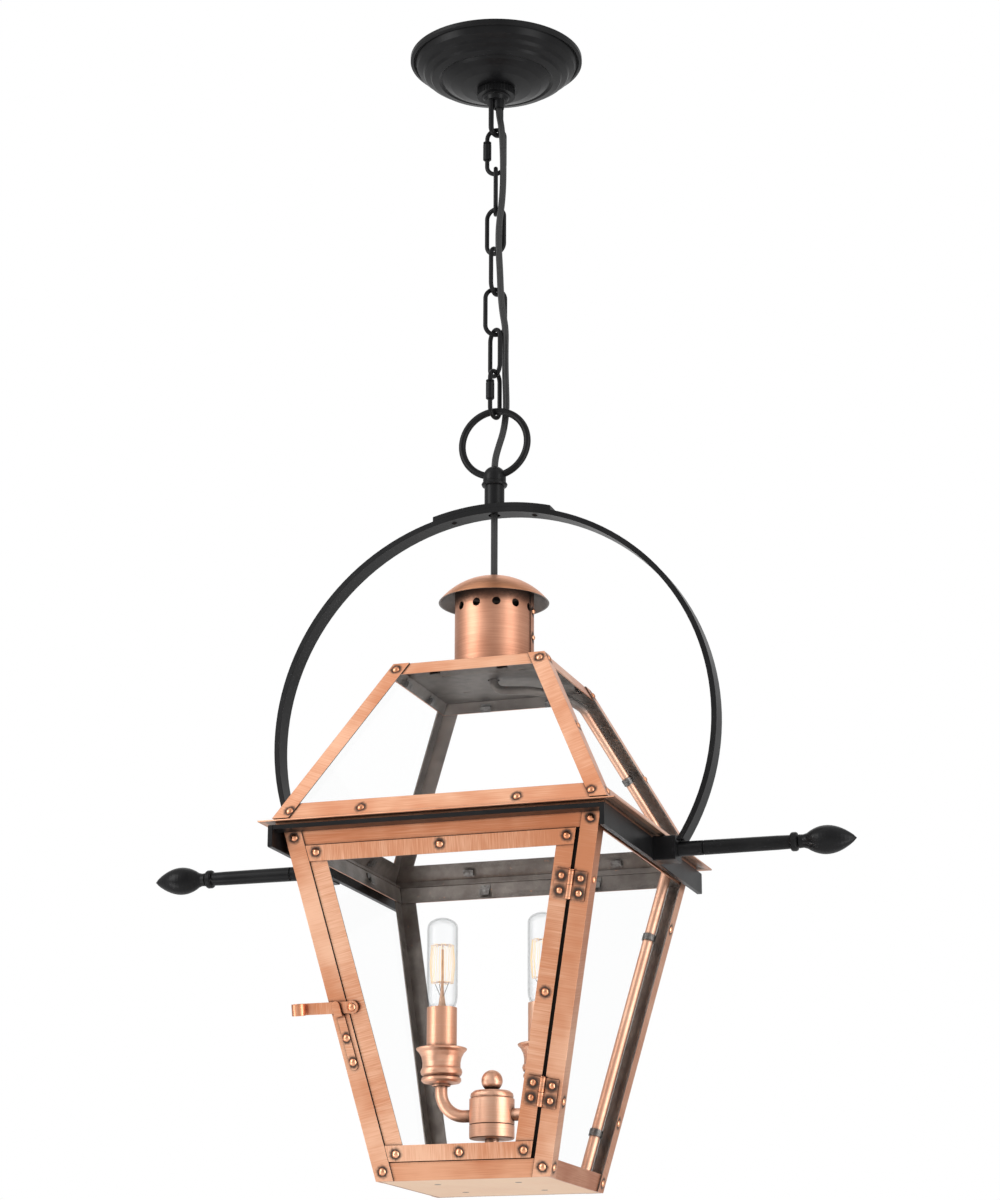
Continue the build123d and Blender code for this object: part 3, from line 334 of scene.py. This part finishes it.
def patina_mask(paint, places, corner, halo):
    """1 in inner corners and round rivets, 0 on open sheet, with a ragged edge."""
    ragged = paint.math("SUBTRACT", paint.noise(paint.place, PATINA_EDGE_SCALE, 2.0), 0.5)
    wander = paint.math("MULTIPLY", ragged, PATINA_WANDER)
    occlusion = paint.node("AmbientOcclusion", samples=4)
    paint.put(occlusion.inputs["Distance"], corner)
    open_sky = paint.math("ADD", occlusion.outputs["AO"], paint.math("MULTIPLY", wander, 80.0))
    dark = paint.span(open_sky, 0.50, 0.98, PATINA_SHARE, 0.0)
    for near in places:
        reach = paint.math("ADD", near, wander)
        ring = paint.span(reach, 1.1 * RIVET_SIZE, halo * RIVET_SIZE, PATINA_SHARE, 0.0)
        dark = paint.math("MAXIMUM", dark, ring)
    return dark


def inside_shade(paint):
    """Mottled grey-brown of the unpolished inside, with flecks of bare copper; on the conduit it serves
    as painted shade.
    """
    mottled = paint.noise(paint.place, 60.0, 4.0, 0.65)
    shade = paint.mix(paint.span(mottled, 0.2, 0.85), INSIDE_DARK, INSIDE_LIGHT)
    fleck = paint.span(paint.noise(paint.place, 260.0, 2.0, 0.6), 0.70, 0.78, 0.0, 0.5)
    return paint.mix(fleck, shade, COPPER_DEEP)


def blend_two(paint, share, a, b):
    """share of a and the rest of b."""
    return paint.math("ADD", paint.math("MULTIPLY", a, share), paint.math("MULTIPLY", b, 1.0 - share))


def copper(name, run, spots=(), folded_spots=(), inside=None, light=COPPER_LIGHT, deep=COPPER_DEEP,
           rough=0.34, corner=0.0026, halo=2.15, depth=0.45, relief=0.2, hidden=None):
    """Brushed copper sheet with its lines across the member and patina in corners and round rivets.

    run gives the distance along the member. inside is 1 on polished faces and 0 on dull ones, and
    hidden is 1 where painted black shade covers the sheet. corner and halo are the patina's reach in
    metres and rivets.
    """
    paint = Paint(name)
    x, y, z = paint.split(paint.place)
    stretched = paint.join(run(paint), paint.math("MULTIPLY", paint.math("ADD", x, z), STREAK_STRETCH),
                           paint.math("MULTIPLY", paint.math("SUBTRACT", y, z), STREAK_STRETCH))
    fine = paint.noise(stretched, STREAK_SCALE, 2.0, 0.65)
    soft = paint.noise(stretched, STREAK_SCALE * SOFT_SCALE, 2.0, 0.5)
    cloud = paint.noise(paint.place, CLOUD_SCALE, 3.0, 0.6)
    streak = blend_two(paint, FINE_SHARE, fine, soft)
    tone = blend_two(paint, depth, streak, cloud)
    dark = patina_mask(paint, around_spots(paint, spots, folded_spots), corner, halo)
    colour = paint.mix(dark, paint.mix(paint.span(tone, 0.34, 0.66), light, deep), PATINA)
    metallic = 1.0
    if inside is not None:
        metallic = paint.span(inside(paint), 0.0, 1.0, BARE_INSIDE, 1.0)
        # dull inside colour where inside is 0; on the conduit that is painted shade under the roof's
        # top plate
        colour = paint.mix(inside(paint), inside_shade(paint), colour)
    if hidden is not None:
        # painted shade: black where hidden is 1, on the stop frame's recess and over the bottom plate's
        # slots
        colour = paint.mix(hidden(paint), colour, PAINTED_SHADE_BLACK)
    roughness = paint.math("ADD", paint.math("MULTIPLY", streak, 0.14), rough - 0.07)
    roughness = paint.math("ADD", roughness, paint.math("MULTIPLY", dark, 0.16))
    paint.set(Base_Color=colour, Metallic=metallic, Roughness=roughness)
    return paint.bump(streak, relief, FINE_RELIEF, edge=COPPER_EDGE).material


def iron(name):
    """Satin black powder coat: fine orange peel, edges slightly rounded."""
    paint = Paint(name)
    peel = paint.noise(paint.place, 1500.0, 2.0, 0.5)
    cloud = paint.noise(paint.place, 35.0, 3.0, 0.6)
    colour = paint.mix(paint.span(cloud, 0.3, 0.7), IRON, IRON_WORN)
    roughness = paint.span(cloud, 0.25, 0.75, 0.28, 0.36)
    paint.set(Base_Color=colour, Metallic=0.0, Roughness=roughness, Specular_IOR_Level=0.15)
    return paint.bump(peel, 0.2, FINE_RELIEF, edge=IRON_EDGE).material


def plain_metal(name, light, dark, rough, metallic=1.0, scale=140.0):
    """Mottled metal without a grain, for small hidden or dark fittings."""
    paint = Paint(name)
    cloud = paint.noise(paint.place, scale, 4.0, 0.6)
    paint.set(Base_Color=paint.mix(paint.span(cloud, 0.3, 0.7), dark, light), Metallic=metallic)
    paint.set(Roughness=paint.span(cloud, 0.2, 0.8, rough - 0.06, rough + 0.08))
    return paint.bump(cloud, 0.25, 0.0001).material


def clear_glass(name, tint, rim, gloss, sharp=3.0, wall=None):
    """Thin glass, see-through straight on and darker at a slant, on the given wall only."""
    paint = Paint(name)
    facing = paint.node("LayerWeight", 0.5).outputs["Facing"]
    speck = paint.noise(paint.place, 30.0, 2.0, 0.5)
    slant = paint.math("POWER", facing, sharp)
    if wall is not None:
        slant = paint.math("MULTIPLY", slant, wall(paint))
    through = paint.node("BsdfTransparent", paint.mix(slant, tint, rim))
    mirror = paint.node("BsdfGlossy", (0.95, 0.97, 0.98), paint.span(speck, 0.2, 0.8, *GLASS_POLISH))
    share = paint.math("MULTIPLY", paint.node("Fresnel", GLASS_INDEX).outputs[0], gloss)
    both = paint.node("MixShader", share, through.outputs[0], mirror.outputs[0])
    paint.put(paint.tree.nodes["Material Output"].inputs["Surface"], both.outputs[0])
    paint.tree.nodes.remove(paint.shader)
    return paint.material


def lit_wire(name):
    """Filament wire with a faint warm glow."""
    paint = Paint(name)
    cloud = paint.noise(paint.place, 500.0, 2.0, 0.5)
    colour = paint.mix(cloud, (1.0, 0.70, 0.38), (1.0, 0.80, 0.52))
    paint.set(Base_Color=colour, Roughness=0.5, Emission_Color=colour, Emission_Strength=0.35)
    return paint.material


def jacket(name):
    """Soft black cord jacket."""
    paint = Paint(name)
    grain = paint.noise(paint.place, 900.0, 2.0, 0.5)
    paint.set(Base_Color=paint.mix(grain, (0.012, 0.012, 0.012), (0.022, 0.022, 0.022)))
    paint.set(Roughness=paint.span(grain, 0.2, 0.8, 0.42, 0.52))
    return paint.bump(grain, 0.15, 0.00005).material


def dress(material, *names):
    """One material for all the named parts."""
    for name in names:
        data = nodes[name].data
        data.materials.clear()
        data.materials.append(material)


def within(point, low, high, slack=0.004):
    """Whether the point is in the box, or within the slack of it."""
    return all(a - slack < p < b + slack for p, a, b in zip(point, low, high))


def from_end(point, low, high):
    """How far below the box's top or above its foot the point is, whichever is less."""
    return min(point.z - low.z, high.z - point.z)


pipe_low, pipe_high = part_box("chimney_pipe")
roof_heads = centres("roof_rivets")
pipe_spots = [p for p in roof_heads if within(p, pipe_low, pipe_high)]
roof_low, roof_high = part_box("roof_hips")
frame_heads = [p for p in roof_heads if not within(p, pipe_low, pipe_high)]
hip_heads = [p for p in frame_heads if folded(p).y - folded(p).x < HIP_REACH]
hip_spots = unique([folded(p) for p in hip_heads if from_end(p, roof_low, roof_high) < MEMBER_END])
hip_middle_spots = [p for p in hip_heads if from_end(p, roof_low, roof_high) >= MEMBER_END]
strip_spots = unique([folded(p) for p in frame_heads if p not in hip_heads])
body_heads, door_heads = centres("body_rivets"), centres("door_rivets")
leaf_low, leaf_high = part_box("hinge_leaves_door")[0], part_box("hinge_leaves_post")[1]
leaf_heads = [p for p in body_heads + door_heads
              if within(p, leaf_low, leaf_high) and from_end(p, leaf_low, leaf_high) < LEAF_HEIGHT]
catch_spots = [p for p in body_heads if within(p, *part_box("latch_catch"))]
post_heads = [p for p in body_heads if p not in leaf_heads and p not in catch_spots]
cage_low, cage_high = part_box("body_posts")
lamp_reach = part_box("bulb_glasses")[1].x - BULB_RADIUS
end_spots = unique([folded(p) for p in post_heads if from_end(p, cage_low, cage_high) < MEMBER_END])
side_spots = [p for p in post_heads if from_end(p, cage_low, cage_high) >= MEMBER_END]
door_spots = [p for p in door_heads if p not in leaf_heads]


def body_run(paint):
    return member_run(paint, BODY_SLOPE)


def roof_run(paint):
    return member_run(paint, ROOF_SLOPE)


def underside(paint):
    """1 on faces turned up or out, 0 on the underside."""
    return paint.span(paint.split(paint.normal)[2], -0.2, 0.0)


def topside(paint):
    """1 on faces turned down or out, 0 on the top."""
    return paint.span(paint.split(paint.normal)[2], 0.0, 0.2, 1.0, 0.0)


def recessed(paint):
    """1 on the stop frame that lies behind the door's edges, where painted shade blackens it, 0 on the
    posts' outer faces.
    """
    x, y, z = paint.split(paint.place)
    reach = paint.math("MAXIMUM", paint.math("ABSOLUTE", x), paint.math("ABSOLUTE", y))
    growth = paint.math("MULTIPLY", paint.math("SUBTRACT", z, cage_high.z), BODY_SLOPE)
    edge = paint.math("ADD", growth, cage_high.x)
    depth = paint.span(paint.math("SUBTRACT", reach, edge), *RECESS, 1.0, 0.0)
    return paint.math("MULTIPLY", outward(paint), depth)


def slot_shade(paint):
    """1 on a spot of painted shade over each of the bottom plate's four slots, 0 elsewhere.

    It is paint that makes up for slots narrower in CAD than in the photo, not patina seen there.
    """
    x, y, _ = paint.split(paint.place)
    corner_place = paint.join(paint.math("ABSOLUTE", x), paint.math("ABSOLUTE", y), 0.0)
    distance = paint.vector("DISTANCE", corner_place, (SLOT_REACH, SLOT_REACH, 0))
    return paint.span(distance, *SLOT_SHADE, 1.0, 0.0)


def bulb_outside(paint):
    """1 on the outer wall of both bulbs, 0 on the inner wall."""
    x, y, _ = paint.split(paint.place)
    nx, ny, _ = paint.split(paint.normal)
    off_axis = paint.math("SUBTRACT", paint.math("ABSOLUTE", x), lamp_reach)
    mirrored = paint.math("MULTIPLY", paint.math("SIGN", x), nx)
    away = paint.math("ADD", paint.math("MULTIPLY", off_axis, mirrored), paint.math("MULTIPLY", y, ny))
    return paint.math("GREATER_THAN", away, 0.0)


def below_plate(paint):
    """1 well under the roof's top plate, 0 next to it, where painted shade darkens the conduit."""
    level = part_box("roof_top_plate")[0].z
    low, high = (level + drop for drop in CONDUIT_SHADE)
    return paint.span(paint.split(paint.place)[2], low, high, 1.0, 0.0)


# painted shade: the stop frame behind the door's edges is painted black
dress(copper("copper_posts", body_run, side_spots, end_spots, outward, depth=0.25, hidden=recessed),
      "body_posts")
dress(copper("copper_hips", roof_run, hip_middle_spots, hip_spots, outward, depth=0.3), "roof_hips")
dress(copper("copper_roof_strips", axis_run(2), (), strip_spots, outward, light=(0.89, 0.53, 0.35),
             deep=(0.68, 0.29, 0.16), depth=0.35), "roof_strips")
dress(copper("copper_rails", axis_run(2), inside=outward, light=(0.84, 0.43, 0.26),
             deep=(0.58, 0.21, 0.10), depth=0.35), "body_rails")
dress(copper("copper_door_rails", axis_run(0), door_spots, inside=outward), "door_rails")
dress(copper("copper_door_stiles", body_run, door_spots, inside=outward), "door_stiles")
dress(copper("copper_pipe", axis_run(2), pipe_spots, inside=outward, light=(0.68, 0.355, 0.235),
             deep=(0.46, 0.20, 0.12), rough=0.46, corner=0.012, depth=0.3, relief=0.06),
      "chimney_pipe")
dress(copper("copper_cap", radius_run, inside=underside, light=(0.92, 0.44, 0.24),
             deep=(0.62, 0.26, 0.13), rough=0.38, depth=0.3, relief=0.08), "chimney_cap")
# painted shade: a black spot over each of the bottom plate's slots
dress(copper("copper_bottom", axis_run(0), inside=topside, light=(0.93, 0.62, 0.38),
             deep=(0.88, 0.54, 0.31), depth=0.2, relief=0.05, hidden=slot_shade), "bottom_plate")
dress(copper("copper_leaves", axis_run(2), leaf_heads, corner=0.0018, halo=2.9),
      "hinge_leaves_door", "hinge_leaves_post")
dress(copper("copper_catch", axis_run(2), catch_spots), "latch_catch")
dress(copper("copper_lever", axis_run(0)), "latch_lever")
dress(copper("copper_heads", axis_run(0), light=(0.94, 0.51, 0.32), rough=0.26, corner=0.0012),
      "roof_rivets", "body_rivets", "door_rivets", "latch_pivot")
dress(copper("copper_turned", axis_run(2), light=(0.95, 0.60, 0.43), deep=(0.78, 0.40, 0.26),
             rough=0.42, corner=0.005, depth=0.25, relief=0.05),
      "candle_cups", "candle_sleeves", "cluster_body", "cluster_cap", "cluster_stem", "lamp_arms")
# painted shade: the conduit darkens next to the roof's top plate, in the inside's grey-brown
dress(copper("copper_conduit", axis_run(2), inside=below_plate, light=(0.95, 0.60, 0.43),
             deep=(0.80, 0.42, 0.28), rough=0.46, depth=0.25, relief=0.05), "conduits")
dress(plain_metal("patina_plate", INSIDE_LIGHT, INSIDE_DARK, 0.42), "roof_top_plate")
dress(plain_metal("patina_clips", (0.24, 0.23, 0.22), (0.09, 0.08, 0.075), 0.4, scale=400.0),
      "cage_clips", "door_clips")
dress(plain_metal("zinc", (0.62, 0.62, 0.60), (0.48, 0.48, 0.47), 0.38),
      "ceiling_crossbar", "threaded_nipple", "nipple_locknut")
dress(plain_metal("bulb_brass", (0.80, 0.62, 0.34), (0.66, 0.48, 0.24), 0.3), "bulb_bases")
dress(plain_metal("phenolic", (0.035, 0.032, 0.03), (0.02, 0.02, 0.02), 0.5, metallic=0.0),
      "lamp_sockets")
dress(clear_glass("pane_glass", (1.0, 1.0, 1.0), (0.985, 0.99, 0.99), 0.02),
      "roof_glass", "body_glass", "door_glass")
dress(clear_glass("bulb_glass", (0.990, 0.992, 0.993), (0.03, 0.035, 0.04), 0.10, 4.5, bulb_outside),
      "bulb_glasses")
dress(plain_metal("stem_rod", (0.78, 0.50, 0.35), (0.60, 0.34, 0.21), 0.4, metallic=0.2, scale=300.0),
      "bulb_stems")
chain_links = [f"chain_link_{i}" for i in range(1, 6)]
dress(iron("black_iron"), "canopy_dish", "canopy_collar", "hang_loop", "quick_link_upper",
      "quick_link_upper_sleeve", *chain_links, "quick_link_lower", "quick_link_lower_sleeve",
      "hanging_ring", "ring_stem", "arch_band", "arch_saddle", "yoke_side_bars", "yoke_cross_bars",
      "yoke_blocks", "yoke_arms", "yoke_finials")
for name in ("roof_glass", "body_glass", "door_glass", "bulb_glasses"):
    nodes[name].visible_shadow = False


# ---- pieces made here --------------------------------------------------------------------------
def add_object(name, data, material):
    """A new piece from its data, with its material."""
    obj = bpy.data.objects.new(name, data)
    bpy.context.scene.collection.objects.link(obj)
    data.materials.append(material)
    return obj


def spline_points(points, resolution=10):
    """Points along the smooth NURBS line that has these control points."""
    curve = bpy.data.curves.new("route", "CURVE")
    curve.dimensions = "3D"
    curve.resolution_u = resolution
    spline = curve.splines.new("NURBS")
    spline.points.add(len(points) - 1)
    for point, place in zip(spline.points, points):
        point.co = (*place, 1)
    spline.order_u = 3
    spline.use_endpoint_u = True
    holder = bpy.data.objects.new("route", curve)
    bpy.context.scene.collection.objects.link(holder)
    bpy.context.view_layer.update()
    line = bpy.data.meshes.new_from_object(holder.evaluated_get(bpy.context.evaluated_depsgraph_get()))
    found = [vertex.co.copy() for vertex in line.vertices]
    bpy.data.objects.remove(holder)
    bpy.data.curves.remove(curve)
    bpy.data.meshes.remove(line)
    return found


def twin_section():
    """Outline of a flat twin cord: two round cores with a valley between them."""
    lobe = CORD_THICKNESS / 2
    offset = CORD_WIDTH / 2 - lobe
    outline = []
    for side in (1, -1):
        for step in range(LOBE_STEPS + 1):
            turn = radians(LOBE_TURN * (step / LOBE_STEPS - 0.5)) + (0 if side == 1 else pi)
            outline.append((side * offset + lobe * cos(turn), lobe * sin(turn)))
    return outline


def sweep(name, line, outline, material):
    """Closed mesh tube with the given outline along the line, its X towards CORD_LEVEL."""
    vertices, faces = [], []
    size = len(outline)
    for i, point in enumerate(line):
        ahead = (line[min(i + 1, len(line) - 1)] - line[max(i - 1, 0)]).normalized()
        across = (CORD_LEVEL - ahead * CORD_LEVEL.dot(ahead)).normalized()
        up = ahead.cross(across)
        vertices += [point + across * a + up * b for a, b in outline]
    for i in range(len(line) - 1):
        for k in range(size):
            a, b = i * size + k, i * size + (k + 1) % size
            faces.append((a, b, b + size, a + size))
    faces.append(tuple(range(size))[::-1])
    faces.append(tuple(range((len(line) - 1) * size, len(line) * size)))
    mesh = bpy.data.meshes.new(name)
    mesh.from_pydata(vertices, [], faces)
    mesh.update()
    for face in mesh.polygons:
        face.use_smooth = len(face.vertices) == 4
    return add_object(name, mesh, material)


def cut_line(line, low, high):
    """The part of a falling line between heights high and low, with its ends exactly there."""
    kept = []
    for a, b in zip(line, line[1:]):
        for level in (high, low):
            if a.z > level > b.z:
                kept.append(a.lerp(b, (a.z - level) / (a.z - b.z)))
        if low <= b.z <= high:
            kept.append(b)
    if line[0].z <= high:
        kept.insert(0, line[0])
    return kept


def cord():
    """Flat twin cord in eight stretches, each reaching across one joint of the chain."""
    rubber = jacket("cord_jacket")
    outline = twin_section()
    line = spline_points(CORD_ROUTE)
    chain = ["quick_link_upper"] + chain_links + ["quick_link_lower"]
    middles = [(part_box(n)[0].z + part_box(n)[1].z) / 2 for n in chain]
    levels = [line[0].z] + middles + [line[-1].z]
    joints = [j for j in frame["joints"] if j["name"].endswith("_swing")]
    for i, joint in enumerate(joints):
        stretch = cut_line(line, levels[i + 1], levels[i])
        piece = sweep(f"cord_stretch_{i + 1}", stretch, outline, rubber)
        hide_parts("cord_along_chain")
        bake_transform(piece)
    inlet, end = line[-1], Vector(CORD_END)
    drop = spline_points([inlet, inlet.lerp(end, 0.35), inlet.lerp(end, 0.7), end])
    piece = sweep("cord_to_cap", drop, outline, rubber)
    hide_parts("cord_to_chimney")
    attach(piece, "lantern")


cord()


def wire_piece(name, strokes, radius, material):
    """Thin round wires, each along its own points."""
    curve = bpy.data.curves.new(name, "CURVE")
    curve.dimensions = "3D"
    curve.bevel_depth = radius
    curve.bevel_resolution = 1
    for stroke in strokes:
        spline = curve.splines.new("POLY")
        spline.points.add(len(stroke) - 1)
        for point, place in zip(spline.points, stroke):
            point.co = (*place, 1)
    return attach(add_object(name, curve, material), "lantern")


def filaments():
    """Squirrel-cage filament, its crowns of hooks and its lead wires, in both bulbs."""
    low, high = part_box("bulb_glasses")
    top, foot = high.z - CAGE_TOP, high.z - CAGE_FOOT
    cage, hooks, leads = [], [], []
    for x in (low.x + BULB_RADIUS, high.x - BULB_RADIUS):
        stroke = []
        for i in range(CAGE_STRANDS):
            turn = CAGE_START + CAGE_TURN * i / (CAGE_STRANDS - 1)

            def rim(share, z):
                reach = share * CAGE_RADIUS
                return Vector((x + reach * cos(turn), reach * sin(turn), z))

            strand = [rim(1, foot), rim(CAGE_BULGE, (foot + top) / 2), rim(1, top)]
            rising = i % 2 == 0
            stroke += strand if rising else strand[::-1]
            z = top if rising else foot
            hooks.append([Vector((x, 0, z + HOOK_RISE)), rim(HOOK_REACH, z)])
        cage.append(stroke)
        neck = Vector((x, 0, foot - NECK_DROP))
        leads += [[neck, stroke[0]], [neck, stroke[-1]], [neck, stroke[FAR_STRAND]]]
        hooks.append([neck, Vector((x, 0, top + HOOK_RISE))])
    lead = plain_metal("lead_wire", (0.10, 0.09, 0.085), (0.05, 0.045, 0.04), 0.4)
    hook = plain_metal("hook_wire", (0.80, 0.46, 0.28), (0.60, 0.34, 0.2), 0.4, metallic=0.3)
    wire_piece("filament_cage", cage, CAGE_WIRE, lit_wire("filament_wire"))
    wire_piece("filament_leads", leads, LEAD_WIRE, lead)
    wire_piece("filament_hooks", hooks, HOOK_WIRE, hook)


filaments()


# ---- stage -------------------------------------------------------------------------------------
def world():
    """Soft white studio all round, brighter at the sides and above than behind the camera."""
    made = bpy.data.worlds.new("studio")
    made.use_nodes = True
    bpy.context.scene.world = made
    tree = made.node_tree
    link = tree.links.new
    background = tree.nodes["Background"]
    where = tree.nodes.new("ShaderNodeTexCoord")
    split = tree.nodes.new("ShaderNodeSeparateXYZ")
    link(where.outputs["Generated"], split.inputs[0])

    def math(operation, a, b=0.0):
        node = tree.nodes.new("ShaderNodeMath")
        node.operation = operation
        for socket, value in zip(node.inputs, (a, b)):
            if isinstance(value, bpy.types.NodeSocket):
                link(value, socket)
            else:
                socket.default_value = value
        return node.outputs[0]

    turn = math("ARCTAN2", split.outputs["X"], math("MULTIPLY", split.outputs["Y"], -1.0))
    turn = math("SUBTRACT", turn, radians(CAMERA_AZIMUTH))
    wrapped = math("ABSOLUTE", math("WRAP", turn, -pi))
    wrapped.node.inputs[0].links[0].from_node.inputs[2].default_value = pi
    bands = tree.nodes.new("ShaderNodeValToRGB")
    bands.color_ramp.interpolation = "B_SPLINE"
    while len(bands.color_ramp.elements) < len(WORLD_BANDS):
        bands.color_ramp.elements.new(0.5)
    for element, (position, value) in zip(bands.color_ramp.elements, WORLD_BANDS):
        element.position = position
        element.color = (value, value, value, 1)
    link(math("DIVIDE", wrapped, pi), bands.inputs[0])
    rise = tree.nodes.new("ShaderNodeMapRange")
    for socket, value in zip(rise.inputs[1:], WORLD_RISE):
        socket.default_value = value
    link(split.outputs["Z"], rise.inputs[0])
    glow = tree.nodes.new("ShaderNodeVectorMath")
    glow.operation = "SCALE"
    link(bands.outputs[0], glow.inputs[0])
    link(rise.outputs[0], glow.inputs["Scale"])
    rays = tree.nodes.new("ShaderNodeLightPath")
    shown = tree.nodes.new("ShaderNodeMix")
    shown.data_type = "RGBA"
    link(rays.outputs["Is Camera Ray"], shown.inputs[MIX_SHARE])
    link(glow.outputs[0], shown.inputs[MIX_A])
    shown.inputs[MIX_B].default_value = (1, 1, 1, 1)
    link(shown.outputs[MIX_RESULT], background.inputs[0])


def lamp(name, place, aim, size, power):
    """Rectangular soft box that looks at the aim."""
    light = bpy.data.lights.new(name, "AREA")
    light.shape = "RECTANGLE"
    light.size, light.size_y = size
    light.energy = power
    obj = bpy.data.objects.new(name, light)
    obj.location = place
    obj.rotation_mode = "QUATERNION"
    obj.rotation_quaternion = (Vector(aim) - Vector(place)).to_track_quat("-Z", "Y")
    bpy.context.scene.collection.objects.link(obj)


def floor():
    """Plain pale floor under the lantern."""
    material = Paint("pale_floor")
    tone = material.noise(material.place, 1.5, 2.0)
    material.set(Base_Color=material.mix(tone, *FLOOR_COLOURS), Roughness=0.7)
    mesh = bpy.data.meshes.new("floor")
    sides = ((-1, -1), (1, -1), (1, 1), (-1, 1))
    corners = [(FLOOR_REACH * x, FLOOR_REACH * y, FLOOR_Z) for x, y in sides]
    mesh.from_pydata(corners, [], [(0, 1, 2, 3)])
    mesh.materials.append(material.material)
    obj = bpy.data.objects.new("floor", mesh)
    bpy.context.scene.collection.objects.link(obj)
    obj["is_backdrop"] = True


def camera():
    """The one camera, level apart from its rise and a slight roll."""
    data = bpy.data.cameras.new("camera")
    data.lens = CAMERA_LENS
    data.sensor_width = SENSOR_WIDTH
    data.clip_start, data.clip_end = CLIP_START, CLIP_END
    obj = bpy.data.objects.new("camera", data)
    azimuth, rise = radians(CAMERA_AZIMUTH), radians(CAMERA_RISE)
    ahead = Vector((-sin(azimuth) * cos(rise), cos(azimuth) * cos(rise), sin(rise)))
    obj.location = CAMERA_PLACE
    obj.rotation_mode = "QUATERNION"
    roll = Quaternion((0, 0, 1), radians(CAMERA_ROLL))
    obj.rotation_quaternion = ahead.to_track_quat("-Z", "Y") @ roll
    bpy.context.scene.collection.objects.link(obj)
    bpy.context.scene.camera = obj


world()
for name, place, aimed_at, size, power in LAMPS:
    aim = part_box(aimed_at)[0] if aimed_at else (cad_box[0] + cad_box[1]) / 2
    lamp(name, place, aim, size, power)
floor()
camera()
bpy.context.scene.view_settings.view_transform = "Standard"

size = {"cad": [list(p) for p in cad_box], "visual": [list(p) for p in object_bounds()]}
